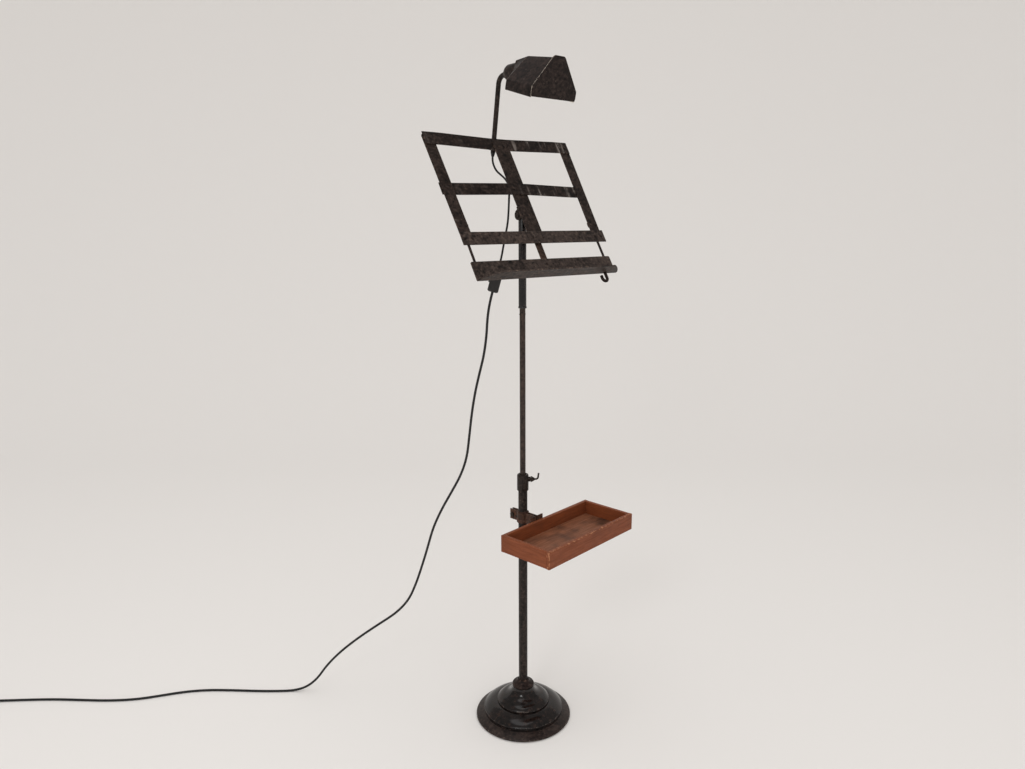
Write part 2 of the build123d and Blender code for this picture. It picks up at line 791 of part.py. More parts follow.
tray_axis = Vector(cos(radians(tray_turn)), sin(radians(tray_turn)), 0)
tray_level = Plane(origin=(0, 0, tray_bottom), x_dir=tray_axis, z_dir=(0, 0, 1))
tray_mid_y = tray_back_y - tray_wide / 2
tray_inner_long = tray_long - 2 * board
tray_inner_wide = tray_wide - 2 * board
floor_low = 2
floor_thick = 7
screw_places = [(-16, strap_low + 6), (16, strap_low + 6)]
tray_screw_radius = 2


def tray_box(name, x, y, long, wide, low, tall):
    with BuildPart() as plank:
        with BuildSketch(tray_level.offset(low)):
            with Locations((x, y)):
                Rectangle(long, wide)
        extrude(amount=tall)
    keep(plank, name)


end_x = (tray_long - board) / 2
tray_box("tray_floor", tray_centre_x, tray_mid_y, tray_inner_long, tray_inner_wide, floor_low, floor_thick)
tray_box("tray_front", tray_centre_x, tray_back_y - tray_wide + board / 2, tray_long, board, 0, tray_tall)
tray_box("tray_left", tray_centre_x - end_x, tray_mid_y, board, tray_inner_wide, 0, tray_tall)
tray_box("tray_right", tray_centre_x + end_x, tray_mid_y, board, tray_inner_wide, 0, tray_tall)

tray_y = Vector(-tray_axis.Y, tray_axis.X, 0)


def tray_upright(y):
    """A plane square to the tray's depth at y: its x is the tray's length and its y is the height."""
    return Plane(origin=tray_y * y, x_dir=tray_axis, z_dir=tray_y.reverse())


with BuildPart() as tray_back:
    with BuildSketch(tray_upright(tray_back_y)):
        with Locations((tray_centre_x, tray_bottom + tray_tall / 2)):
            Rectangle(tray_long, tray_tall)
        with Locations(*screw_places):
            Circle(tray_screw_radius, mode=Mode.SUBTRACT)
    extrude(amount=board)
keep(tray_back, "tray_back")

with BuildPart() as clamp_liner:
    with BuildSketch(Plane.XY.offset(strap_low - 2)):
        Circle(liner_radius)
        Circle(pole_outer + run_gap, mode=Mode.SUBTRACT)
    extrude(amount=strap_tall + 4)
    with BuildSketch(Plane.XY.offset(strap_low - 2)):
        Circle(liner_radius + 1.8)
        Circle(pole_outer + run_gap, mode=Mode.SUBTRACT)
    extrude(amount=1.7)
keep(clamp_liner, "clamp_liner")

strap_level = tray_level.offset(strap_low - tray_bottom)
hug = liner_radius + run_gap
bolt_y = 31
bolt_z = strap_low + strap_tall / 2
flange = 24

for name, side in (("clamp_strap_left", -1), ("clamp_strap_right", 1)):
    inner = side * (ear_gap + strap_thick / 2)
    with BuildPart() as strap:
        with BuildSketch(strap_level):
            Circle(hug + strap_thick)
            with Locations((-side * 25 + side * ear_gap, 0)):
                Rectangle(50, 50, mode=Mode.SUBTRACT)
            with Locations((inner, (hug + ear_back) / 2)):
                Rectangle(strap_thick, ear_back - hug)
            with Locations((inner, (tray_back_y - hug) / 2)):
                Rectangle(strap_thick, -tray_back_y - hug)
            with Locations((side * (ear_gap + flange) / 2, tray_back_y + strap_thick / 2)):
                Rectangle(flange - ear_gap, strap_thick)
            Circle(hug, mode=Mode.SUBTRACT)
        extrude(amount=strap_tall)
        with BuildSketch(tray_upright(tray_back_y + 10)):
            with Locations(*screw_places):
                Circle(tray_screw_radius)
        extrude(amount=12, mode=Mode.SUBTRACT)
        with BuildSketch(Plane(origin=tray_y * bolt_y + Vector(0, 0, bolt_z), x_dir=tray_y, z_dir=tray_axis)):
            Circle(3)
        extrude(amount=30, both=True, mode=Mode.SUBTRACT)
    keep(strap, name)

ear_out = ear_gap + strap_thick


def bolt_plane(x):
    return Plane(origin=tray_axis * x + tray_y * bolt_y + Vector(0, 0, bolt_z), x_dir=tray_y, z_dir=tray_axis)


with BuildPart() as clamp_bolt:
    with BuildSketch(bolt_plane(-ear_out)):
        Circle(3)
    extrude(amount=2 * ear_out + 8)
    with BuildSketch(bolt_plane(-ear_out)):
        RegularPolygon(6, 6)
    extrude(amount=-4.5)
keep(clamp_bolt, "clamp_bolt")

with BuildPart() as clamp_nut:
    with BuildSketch(bolt_plane(ear_out)):
        RegularPolygon(6, 6)
        Circle(3, mode=Mode.SUBTRACT)
    extrude(amount=5)
keep(clamp_nut, "clamp_nut")

with BuildPart() as tray_screws:
    with BuildSketch(tray_upright(tray_back_y + strap_thick)):
        with Locations(*screw_places):
            Circle(4.2)
    extrude(amount=-2.2)
    chamfer(tray_screws.edges().group_by(Axis((0, 0, 0), tray_y))[-1], 1.2)
    with BuildSketch(tray_upright(tray_back_y + strap_thick)):
        with Locations(*screw_places):
            Circle(tray_screw_radius)
    extrude(amount=strap_thick + board - 2)
keep(tray_screws, "tray_screws")

# Cord: free stretches with large bends, an in-line switch, a tied coil and a plug

switch_top = Vector(-42, 40.5, 1225)
switch_foot = Vector(-53, 52.5, 1166)
switch_down = (switch_foot - switch_top).normalized()
rest_height = thick_cord / 2
lamp_route = [
    tuple(arm_foot - arm_up * grommet_long), tuple(arm_foot - arm_up * (grommet_long + 12)),
    (10, 116, 1462), (15, 100, 1450), (10, 78, 1440), (2, 57, 1428), (-10, 39, 1417), (-19, 26.5, 1405),
    (-24.75, 20.1, 1389), (-26, 20.5, 1364),
]
head_route = [
    (-26, 20.5, 1364), (-27.2, 20.884, 1340), (-30, 25, 1313), (-34, 31, 1280),
    tuple(switch_top - switch_down * 27), tuple(switch_top),
]
hanging_route = [
    tuple(switch_foot), tuple(switch_foot + switch_down * 26),
    (-62.5, 62, 1102), (-64, 64.5, 1056), (-69, 70, 1005),
    (-77, 79.5, 958), (-85, 88.5, 908), (-91.5, 95.5, 852), (-96.5, 101, 790), (-101, 106.5, 735),
    (-112, 119, 686), (-129, 139, 638), (-148, 160, 588), (-165, 179, 533), (-176.5, 191.5, 474),
    (-188, 205, 418), (-200, 219.5, 364), (-215, 236.5, 314), (-240, 265, 272), (-278, 308, 230),
    (-317, 353, 184), (-354, 395, 135), (-382, 427, 88), (-401, 449, 45), (-424, 474, 15),
    (-452, 497, rest_height),
]
floor_route = [
    (-488, 522), (-533, 559), (-590, 611), (-648, 661), (-704, 695), (-762, 719),
    (-820, 744), (-880, 785), (-938, 836), (-994, 887), (-1050, 931), (-1106, 972),
]

turn_gap = 1.75
tie_thick = 1.2
tie_gap = 0.3
coil_pitch = thick_cord + turn_gap
coil_low = rest_height + tie_thick + tie_gap
layer_rise = thick_cord + turn_gap
coil_inner = 28
turns_in = 2
turns_out = 1.75
coil_outer = coil_inner + turns_in * coil_pitch
coil_heading = 144.0
coil_start = Vector(-1178, 1023, coil_low)
heading = Vector(cos(radians(coil_heading)), sin(radians(coil_heading)), 0)
start_angle = radians(coil_heading - 90)
coil_centre = coil_start - Vector(cos(start_angle), sin(start_angle), 0) * coil_outer
coil_turns = turns_in + 0.5 + turns_out


def coil_at(turn):
    """The coil's middle line: it spirals in, climbs a layer in half a turn, and spirals out again."""
    climb = min(max((turn - turns_in) / 0.5, 0), 1)
    radius = coil_inner + coil_pitch * (max(turns_in - turn, 0) + max(turn - turns_in - 0.5, 0))
    angle = start_angle + 2 * pi * turn
    rise = layer_rise * (climb - sin(2 * pi * climb) / (2 * pi))
    return coil_centre + Vector(cos(angle) * radius, sin(angle) * radius, rise)


def coil_along(turn):
    step = 1e-4
    return (coil_at(turn + step) - coil_at(turn - step)).normalized()


def biarc_middle(p, along_p, q, along_q):
    """Where two arcs meet that leave p along one direction and reach q along the other."""
    reach = q - p
    lean_in = reach.dot(along_p + along_q)
    spread = 2 * (1 - along_p.dot(along_q))
    step = (-lean_in + sqrt(lean_in**2 + spread * reach.dot(reach))) / spread
    return (p + q + (along_p - along_q) * step) * 0.5


def bend_radii(route):
    """Each bend as large as its two runs allow."""
    points = [Vector(*point) for point in route]
    radii = []
    for before, corner, after in zip(points, points[1:], points[2:]):
        turn = radians((corner - before).get_angle(after - corner))
        radii.append(0.45 * min((corner - before).length, (after - corner).length) / tan(turn / 2))
    return radii


def cord_tube(name, route, diameter):
    with BuildPart() as tube:
        with BuildLine() as path:
            FilletPolyline(*route, radius=bend_radii(route))
        line = path.wires()[0]
        with BuildSketch(Plane(origin=line @ 0, z_dir=line % 0)) as section:
            Circle(diameter / 2)
        sweep(section.sketch, path=line)
    print(name, "is", round(line.length), "mm long")
    keep(tube, name)


cord_tube("cord_lamp", lamp_route, thin_cord)
cord_tube("cord_head", head_route, thin_cord)
coil_entry = coil_start - heading * thick_cord
lying_route = [(x, y, rest_height) for x, y in floor_route]
entry_route = [tuple(coil_entry - heading * 34), tuple(coil_entry)]
cord_tube("cord_floor", hanging_route + lying_route + entry_route, thick_cord)

plug_lead = 44
with BuildPart() as cord_coil:
    with BuildLine() as path:
        Line(coil_entry, coil_start)
        steps = int(coil_turns * 4)
        for quarter in range(steps):
            p, q = coil_at(quarter / 4), coil_at((quarter + 1) / 4)
            along_p = heading if quarter == 0 else coil_along(quarter / 4)
            along_q = coil_along((quarter + 1) / 4)
            middle = biarc_middle(p, along_p, q, along_q)
            TangentArc(p, middle, tangent=along_p)
            TangentArc(q, middle, tangent=along_q.reverse())
        coil_end = coil_at(coil_turns)
        lead_heading = coil_along(coil_turns)
        lead_heading = Vector(lead_heading.X, lead_heading.Y, 0).normalized()
        Line(coil_end, coil_end + lead_heading * plug_lead)
    line = path.wires()[0]
    with BuildSketch(Plane(origin=coil_entry, z_dir=heading)) as section:
        Circle(thick_cord / 2)
    sweep(section.sketch, path=line)
keep(cord_coil, "cord_coil")

print("cord_coil is", round(line.length), "mm long")

tie_turn = 0.375
tie_angle = start_angle + 2 * pi * tie_turn
tie_out = Vector(cos(tie_angle), sin(tie_angle), 0)
tie_along = Vector(-sin(tie_angle), cos(tie_angle), 0)
tie_wide = coil_outer - coil_inner + thick_cord + 2 * tie_gap + 2
tie_tall = layer_rise + thick_cord + 2 * tie_gap
tie_middle = coil_centre + tie_out * (coil_outer + coil_inner) / 2 + Vector(0, 0, layer_rise / 2)
with BuildPart() as cord_tie:
    with BuildSketch(Plane(origin=tie_middle - tie_along * 4, x_dir=tie_out, z_dir=tie_along)):
        RectangleRounded(tie_wide + 2 * tie_thick, tie_tall + 2 * tie_thick, 4)
        RectangleRounded(tie_wide, tie_tall, 2.8, mode=Mode.SUBTRACT)
    extrude(amount=8)
keep(cord_tie, "cord_tie")

plug_start = coil_end + lead_heading * plug_lead
plug_side = Vector(-lead_heading.Y, lead_heading.X, 0)
plug_thick = 2 * plug_start.Z
gland_long = 22
plug_long = 30
plug_wide = 36
gland_plane = Plane(origin=plug_start, x_dir=plug_side, z_dir=lead_heading)
body_plane = Plane(origin=plug_start + lead_heading * gland_long, x_dir=plug_side, z_dir=lead_heading)
with BuildPart() as plug_body:
    with BuildSketch(gland_plane):
        Circle(thick_cord / 2 + 1.5)
    with BuildSketch(body_plane):
        Circle(plug_thick * 0.36)
    loft()
    with BuildSketch(body_plane):
        RectangleRounded(plug_wide, plug_thick, plug_thick * 0.4)
    extrude(amount=plug_long)
    chamfer(plug_body.faces().sort_by(Axis(plug_start, lead_heading))[-1].edges(), 1)
keep(plug_body, "plug_body")

pin_root = plug_start + lead_heading * (gland_long + plug_long)
with BuildPart() as plug_pins:
    with BuildSketch(Plane(origin=pin_root, x_dir=plug_side, z_dir=lead_heading)):
        with Locations((-9.5, 0), (9.5, 0)):
            Circle(2.2)
    extrude(amount=19)
    chamfer(plug_pins.edges().group_by(Axis(plug_start, lead_heading))[-1], 0.8)
keep(plug_pins, "plug_pins")

switch_long = (switch_foot - switch_top).length
switch_toward = Vector(-0.63, -0.78, 0)
switch_face = (switch_toward - switch_down * switch_toward.dot(switch_down)).normalized()
switch_across = switch_down.cross(switch_face)
switch_wide = 27.5
switch_deep = 20
switch_middle = (switch_top + switch_foot) * 0.5
pocket_long = 20
pocket_wide = 10
pocket_deep = 5
pocket_top = switch_middle + switch_across * (switch_wide / 2)

with BuildPart() as switch_body:
    with BuildSketch(Plane(origin=switch_top, x_dir=switch_across, z_dir=switch_down)):
        RectangleRounded(switch_wide, switch_deep, 5)
    extrude(amount=switch_long)
    ends = switch_body.faces().sort_by(Axis(switch_top, switch_down))
    chamfer(ends[0].edges() + ends[-1].edges(), 3)
    with BuildSketch(Plane(origin=pocket_top, x_dir=switch_down, z_dir=switch_across)):
        Rectangle(pocket_long, pocket_wide)
    extrude(amount=-pocket_deep, mode=Mode.SUBTRACT)
keep(switch_body, "switch_body")

rocker_half = pocket_long / 2 - 0.8
rocker_tip = rocker_half - 0.5
with BuildPart() as switch_rocker:
    with BuildSketch(Plane(origin=pocket_top, x_dir=switch_down, z_dir=switch_face)):
        with BuildLine():
            Polyline((-rocker_tip, 0.6), (-rocker_half, -2), (-1.5, -4.2), (1.5, -4.2))
            Polyline((1.5, -4.2), (rocker_half, -2), (rocker_tip, 0.6))
            ThreePointArc((rocker_tip, 0.6), (0, -0.4), (-rocker_tip, 0.6))
        make_face()
    extrude(amount=pocket_wide / 2 - 0.4, both=True)
keep(switch_rocker, "switch_rocker")
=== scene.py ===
import bmesh
import bpy
import functools
import math
import numpy as np
from mathutils import Matrix, Vector


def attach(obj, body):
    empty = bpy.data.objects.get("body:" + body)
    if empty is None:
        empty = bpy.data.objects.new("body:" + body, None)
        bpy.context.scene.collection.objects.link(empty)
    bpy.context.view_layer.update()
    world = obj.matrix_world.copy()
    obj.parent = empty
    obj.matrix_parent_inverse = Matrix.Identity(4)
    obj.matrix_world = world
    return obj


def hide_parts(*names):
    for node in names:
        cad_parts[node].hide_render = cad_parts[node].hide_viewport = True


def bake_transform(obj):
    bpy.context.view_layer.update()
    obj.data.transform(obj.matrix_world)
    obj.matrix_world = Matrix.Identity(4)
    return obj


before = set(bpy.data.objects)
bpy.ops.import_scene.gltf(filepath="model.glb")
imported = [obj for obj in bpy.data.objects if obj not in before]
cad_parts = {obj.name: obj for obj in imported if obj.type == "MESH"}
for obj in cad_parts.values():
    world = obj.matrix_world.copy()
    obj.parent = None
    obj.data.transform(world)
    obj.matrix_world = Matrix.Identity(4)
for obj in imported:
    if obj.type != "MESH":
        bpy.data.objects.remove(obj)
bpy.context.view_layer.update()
print("frame loaded:", len(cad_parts), "nodes")

mm = 0.001

# the same frame as the solids: desk coordinates are u across, s up the slope, n out of the front
desk = dict(lean=31.7, origin=(0, -8, 1375), strip=3, rim=0.8, hingeHeight=1352)
lean = math.radians(desk["lean"])
across = np.array([1.0, 0.0, 0.0])
slope = np.array([0.0, math.sin(lean), math.cos(lean)])
outward = np.array([0.0, -math.cos(lean), math.sin(lean)])
straightUp = np.array([0.0, 0.0, 1.0])


def levelHeading(angle):  # the level direction at this angle from X
    return np.array([math.cos(angle), math.sin(angle), 0.0])


def unit(vectors):  # one direction or rows of them, made one long
    return vectors / np.linalg.norm(vectors, axis=-1, keepdims=True)


def circle(count):  # cosines and sines of this many even steps round a circle
    angle = np.linspace(0, 2 * np.pi, count, endpoint=False)
    return np.cos(angle), np.sin(angle)


def deskPoint(u, s, n):  # desk coordinates in mm to the frame in metres, for numbers or whole arrays
    u, s, n = np.broadcast_arrays(np.asarray(u, float), np.asarray(s, float), np.asarray(n, float))
    offset = u[..., None] * across + s[..., None] * slope + n[..., None] * outward
    return (np.array(desk["origin"], float) + offset) * mm


# colours and nodes

def linear(code):  # sRGB hex to linear
    values = [int(code[i:i + 2], 16) / 255 for i in (1, 3, 5)]
    return tuple(v / 12.92 if v <= 0.04045 else ((v + 0.055) / 1.055) ** 2.4 for v in values) + (1.0,)


# a node with its settings; its inputs go by name or number, or as a list in their own order, and an input is a
# value, a colour's hex code, a node whose first live output is meant, or (node, output)
def addNode(tree, kind, inputs={}, **settings):
    node = tree.nodes.new("ShaderNode" + kind)
    for key, value in settings.items():
        setattr(node, key, value)
    for key, value in inputs.items() if isinstance(inputs, dict) else enumerate(inputs):
        if isinstance(value, bpy.types.Node):
            value = (value, next(i for i, out in enumerate(value.outputs) if out.enabled))
        if isinstance(value, tuple) and isinstance(value[0], bpy.types.Node):
            tree.links.new(value[0].outputs[value[1]], node.inputs[key])
        else:
            node.inputs[key].default_value = linear(value) if isinstance(value, str) else value
    return node


def newMaterial(name):  # an empty material and the function that adds nodes to it
    mat = bpy.data.materials.new(name)
    mat.use_nodes = True
    mat.node_tree.nodes.clear()
    return mat, functools.partial(addNode, mat.node_tree)


def finishMaterial(mat, inputs):  # the surface from its shader's inputs
    shader = addNode(mat.node_tree, "BsdfPrincipled", inputs)
    addNode(mat.node_tree, "OutputMaterial", {"Surface": shader})
    return mat


def perMetre(size):  # texture scale that gives features of this size in mm
    return 1000.0 / size


# painted and bare iron: lacquer with slow blotches, thin spots that show what is under it, scrapes, flecks
# and pits; a range node's list is its value, the range it comes from and the range it goes to
def wornPaint(s):
    mat, add = newMaterial(s["name"])
    here = (add("TexCoord"), "Object")
    blotch, speck, dot = (
        add("TexNoise", {"Vector": here, "Scale": perMetre(size), "Detail": detail, "Roughness": rough})
        for size, detail, rough in (
            (s["blotchMm"], 5.0, 0.6), (s["speckMm"], 4.0, 0.65), (s["fleckMm"], 3.0, 0.6)))
    stretched = add("Mapping", {"Vector": here, "Scale": s["scrapeScale"]})
    scrape = add("TexNoise", {"Vector": stretched, "Scale": perMetre(s["scrapeMm"]), "Detail": 3.0})
    edge = (add("Attribute", attribute_name="edge"), "Fac")
    blotchy = add("MapRange", [blotch, 0.35, 0.65])
    tone = add("Mix", {0: blotchy, 6: s["paint"], 7: s["paintAlt"]}, data_type="RGBA")
    chipped = add("Math", [edge, s["edgeWear"], speck], operation="MULTIPLY_ADD")
    bare = add("MapRange", [chipped, s["bareFrom"], s["bareFrom"] + 0.07])
    scraped = add("MapRange", [scrape, s["scrapeFrom"], s["scrapeFrom"] + 0.08])
    side = (add("SeparateXYZ", {"Vector": here}), "X")
    sided = add("MapRange", [side, 0.0, 0.09, s["scrapeLeft"]])
    patchy = add("Math", [sided, blotchy], operation="MULTIPLY")
    scrapeShare = add("Math", [scraped, patchy], operation="MULTIPLY")
    rubbed = add("Mix", {0: scrapeShare, 6: tone, 7: s["scrape"]}, data_type="RGBA")
    thin = add("Mix", {0: bare, 6: rubbed, 7: s["bare"]}, data_type="RGBA")
    flecky = add("MapRange", [dot, 0.54, 0.66, 0.0, s["fleckShare"]])
    flecked = add("Mix", {0: flecky, 6: thin, 7: s["fleck"]}, data_type="RGBA")
    pitted = add("MapRange", [dot, 0.47, 0.34, 0.0, 0.85])
    colour = add("Mix", {0: pitted, 6: flecked, 7: s["pit"]}, data_type="RGBA")
    rough = add("MapRange", [blotch, 0.3, 0.7, *s["rough"]])
    height = add("Math", [speck, bare], operation="SUBTRACT")
    bump = add("Bump", {"Height": height, "Strength": s["bump"], "Distance": 0.0004})
    return finishMaterial(mat, {
        "Base Color": colour, "Roughness": rough, "Normal": bump, "Metallic": s["metallic"],
        "Specular IOR Level": s["shine"], "Coat Weight": s["coat"], "Coat Roughness": 0.16})


paintBase = dict(blotchMm=45, speckMm=6, scrapeMm=40, scrapeScale=(1, 14, 14), scrapeLeft=1.0, edgeWear=0.12,
                 bareFrom=0.66, scrapeFrom=0.6, fleckMm=7, fleckShare=0.3, fleck="#5A4C45", pit="#070504",
                 shine=0.15, rough=(0.38, 0.6), bump=0.25, metallic=0.0, coat=0.0)


# a worn paint: tones are its two paints, what shows where it is thin, and its scrapes
def painted(name, tones, base=paintBase, **changes):
    tones = dict(zip(("paint", "paintAlt", "bare", "scrape"), tones.split()))
    return wornPaint({**base, "name": name, **tones, **changes})


# brushed black lacquer on flat iron, rubbed through to brown primer and grey metal
stripBase = {**paintBase, "scrapeFrom": 0.66}
stripLacquer = painted("black_lacquer_on_strip_iron", "#1E1613 #332823 #5C4B41 #5C544E", stripBase)
# the lower rail and the ledge: the same lacquer in lighter, browner tones, whose extra flecks partly paint the
# highlights on their edges
ledgeLacquer = painted("lighter_browner_lacquer_with_painted_highlights", "#2B2320 #433833 #6E5D52 #5C544E", stripBase,
                       fleck="#68594F", fleckShare=0.42, edgeWear=0.09)
# the same lacquer in darker tones on the two upper rails, scraped grey across their right half by books
railLacquer = painted("black_lacquer_scraped_by_books", "#17100E #2A201C #5C4B41 #8B837D", stripBase,
                      scrapeFrom=0.55, scrapeMm=160, scrapeScale=(14, 1, 1), scrapeLeft=0.1)
# the same lacquer on the lower tube, glossier and less handled
tubeLacquer = painted("black_lacquer_on_tube", "#181310 #2C231F #54453C #4A4340", rough=(0.28, 0.48), shine=0.2)
# sliding rod: lacquer worn to a brown skin by the clamp
rodBrown = painted("brown_oxide_on_drawn_rod", "#2A211D #3F322B #6A594C #2B2523", blotchMm=70, bareFrom=0.64,
                   scrapeFrom=0.58, scrapeScale=(14, 14, 1), rough=(0.34, 0.55), shine=0.3)
# stove enamel on the cast foot: deep gloss, mottled red-brown, with small chips that show brown iron
footEnamel = painted("black_stove_enamel_on_cast_iron", "#0E0C0C #1D1614 #4B433E #2C2320", blotchMm=38,
                     speckMm=9, bareFrom=0.7, fleckMm=11, fleckShare=0.45, fleck="#3C2C25", scrapeFrom=0.64,
                     rough=(0.08, 0.2), bump=0.12, edgeWear=0.2, shine=0.4)
# the foot's flat rim in lighter, browner tones: partly dust and partly a painted highlight on its upward face
flangeBrown = painted("dusty_enamel_with_painted_highlight_on_foot_rim", "#1F1816 #352A26 #6E625A #2C2320", blotchMm=30,
                      rough=(0.3, 0.45), edgeWear=0.2, shine=0.25)
# handled ring on the foot, where the enamel has gone brown
ringBrown = painted("worn_enamel_on_cast_ring", "#1F1615 #30231F #5C493D #2A2422", blotchMm=22,
                    rough=(0.34, 0.55))
# glossy black on the turning sleeve
sleeveGloss = painted("gloss_black_enamel_on_tube", "#121112 #1D1A1A #4A3E38 #393432", rough=(0.14, 0.3),
                      bareFrom=0.72, fleckShare=0.2, shine=0.5, coat=0.4)
# shade: old black paint with a dull bloom
shadeBase = {**paintBase, "blotchMm": 26, "scrapeFrom": 0.66, "fleckShare": 0.2, "edgeWear": 0.2, "shine": 0.18}
shadePaint = painted("black_paint_on_sheet_steel", "#191210 #2E2421 #6B6059 #3C3734", shadeBase)
# the same paint on the end plate, whose pale cut edge is partly chipped back to metal and partly a painted
# highlight along the edge
plateLacquer = painted("black_paint_on_end_plate", "#191210 #2E2421 #7B7067 #3C3734", shadeBase, edgeWear=0.22,
                       speckMm=4)
# centre strip of the ledge, rubbed to a coppery brown by the strut
stripCopper = painted("coppery_worn_strip", "#33261F #4A382F #7C5F4D #2A201C", rough=(0.34, 0.5), metallic=0.25)
# dull dark steel of bolts and screws
fixingSteel = painted("darkened_steel_fixings", "#332D2A #463E39 #7E7269 #2B2826", blotchMm=8, speckMm=2.5,
                      fleckMm=3, rough=(0.32, 0.5), metallic=0.6)
# tray clamp: brown painted straps, rubbed at the ears
strapBrown = painted("brown_paint_on_clamp_straps", "#3A2A23 #54392D #7A5C4A #2A201C", fleck="#6A4F40",
                     blotchMm=18)
# fibre bush between the straps and the tube
bushFibre = painted("dark_vulcanised_fibre", "#3A2620 #4A3229 #5A4033 #2A1C18", rough=(0.55, 0.7))


# red-brown stained softwood: grain along the board, darker pores, pale worn arrises and dark old stains
def stainedWood(s):
    mat, add = newMaterial(s["name"])
    board = add("UVMap", uv_map="board")
    here = (add("TexCoord"), "Object")
    long = add("Mapping", {"Vector": board, "Scale": (1.0, s["grainStretch"], 1.0)})
    grain = add("TexNoise", {"Vector": long, "Scale": perMetre(s["grainMm"]), "Detail": 6.0, "Roughness": 0.62,
                             "Distortion": 0.4}, noise_dimensions="2D")
    fine = add("Mapping", {"Vector": board, "Scale": (1.0, s["poreStretch"], 1.0)})
    pores = add("TexNoise", {"Vector": fine, "Scale": perMetre(s["poreMm"]), "Detail": 2.0},
                noise_dimensions="2D")
    cloud = add("TexNoise", {"Vector": here, "Scale": perMetre(s["cloudMm"]), "Detail": 4.0})
    nick = add("TexNoise", {"Vector": here, "Scale": perMetre(s["nickMm"]), "Detail": 5.0})
    grainy = add("MapRange", [grain, 0.3, 0.7])
    tone = add("Mix", {0: grainy, 6: s["dark"], 7: s["light"]}, data_type="RGBA")
    pored = add("MapRange", [pores, 0.62, 0.72, 0.0, 0.55])
    poreTone = add("Mix", {0: pored, 6: tone, 7: s["pore"]}, data_type="RGBA")
    clouded = add("MapRange", [cloud, 0.5, 0.72, 0.0, s["stainShare"]])
    stained = add("Mix", {0: clouded, 6: poreTone, 7: s["stain"]}, data_type="RGBA")
    edge = (add("Attribute", attribute_name="edge"), "Fac")
    worn = add("Math", [edge, s["edgeWear"], nick], operation="MULTIPLY_ADD")
    wornShare = add("MapRange", [worn, s["wornFrom"], s["wornFrom"] + 0.12, 0.0, 0.85])
    colour = add("Mix", {0: wornShare, 6: stained, 7: s["worn"]}, data_type="RGBA")
    rough = add("MapRange", [grain, 0.3, 0.7, 0.62, 0.45])
    bump = add("Bump", {"Height": pores, "Strength": 0.25, "Distance": 0.0005})
    return finishMaterial(mat, {"Base Color": colour, "Roughness": rough, "Normal": bump,
                                "Specular IOR Level": 0.25})


woodBase = dict(grainMm=60, grainStretch=12.0, poreMm=20, poreStretch=26.0, cloudMm=90, nickMm=7, edgeWear=0.13,
                wornFrom=0.72, dark="#71391D", light="#854627", pore="#532A1A", stain="#4E2C1E", stainShare=0.4,
                worn="#AC7654")
wallWood = stainedWood({**woodBase, "name": "red_brown_stained_softwood"})
floorWood = stainedWood({**woodBase, "name": "grey_brown_worn_board", "dark": "#70452F", "light": "#8A583E",
                         "stain": "#2C1F19", "stainShare": 0.8, "cloudMm": 70, "worn": "#866650"})


# two tones of one stuff: a cloud of the given size mixes them and moves the roughness; share is where the
# mixing starts and ends and how far it goes, and more are inputs of the shader
def mottled(name, first, second, cloudMm, rough, detail=3.0, share=(0.0, 1.0, 1.0), roughAt=(0.0, 1.0), **more):
    mat, add = newMaterial(name)
    here = (add("TexCoord"), "Object")
    cloud = add("TexNoise", {"Vector": here, "Scale": perMetre(cloudMm), "Detail": detail})
    start, end, most = share
    mixed = add("MapRange", [cloud, start, end, 0.0, most])
    colour = add("Mix", {0: mixed, 6: first, 7: second}, data_type="RGBA")
    dull = add("MapRange", [cloud, *roughAt, *rough])
    return finishMaterial(mat, {"Base Color": colour, "Roughness": dull, **more})


# white stove enamel inside the shade, yellowed by heat near the bulb
shadeWhite = mottled("white_enamel_in_shade", "#EDE7DA", "#CDBF9F", cloudMm=30, rough=(0.35, 0.35), detail=4.0,
                     share=(0.4, 0.75, 1.0))
# natural rubber sheath: nearly matt black with a soft sheen and a little floor dust
rubberBase = dict(rough=(0.42, 0.6), detail=5.0, share=(0.5, 0.8, 0.5), roughAt=(0.3, 0.7))
cordRubber = mottled("black_rubber_sheath", "#08080A", "#1B1A1A", cloudMm=14, **rubberBase)
tieCloth = mottled("black_woven_tie", "#1E1C1B", "#33302D", cloudMm=2, **rubberBase)
# moulded phenolic: black with faint grey mottling and a polished skin
phenolicBlack = mottled("moulded_black_phenolic", "#0C0B0B", "#211E1D", cloudMm=9, rough=(0.24, 0.42))
# turned brass with a brown tarnish
brassTurned = mottled("turned_brass", "#C9A35A", "#7E6238", cloudMm=6, rough=(0.22, 0.4), detail=4.0,
                      share=(0.4, 0.75, 1.0), Metallic=1.0)
# frosted bulb: milky glass with a faint warm tint
bulbGlass = mottled("frosted_bulb_glass", "#F2F0EA", "#E6DFCD", cloudMm=4, rough=(0.3, 0.5),
                    **{"Transmission Weight": 0.35, "IOR": 1.5})
print("materials ready")


# mesh helpers: every shape is a grid of points worked out as whole arrays

def gridFaces(rows, cols, wrap):  # quads of a grid whose last column joins its first where wrap is set
    r, c = np.meshgrid(np.arange(rows - 1), np.arange(cols if wrap else cols - 1), indexing="ij")
    right = (c + 1) % cols
    corners = [r * cols + c, r * cols + right, (r + 1) * cols + right, (r + 1) * cols + c]
    return np.stack(corners, -1).reshape(-1, 4)


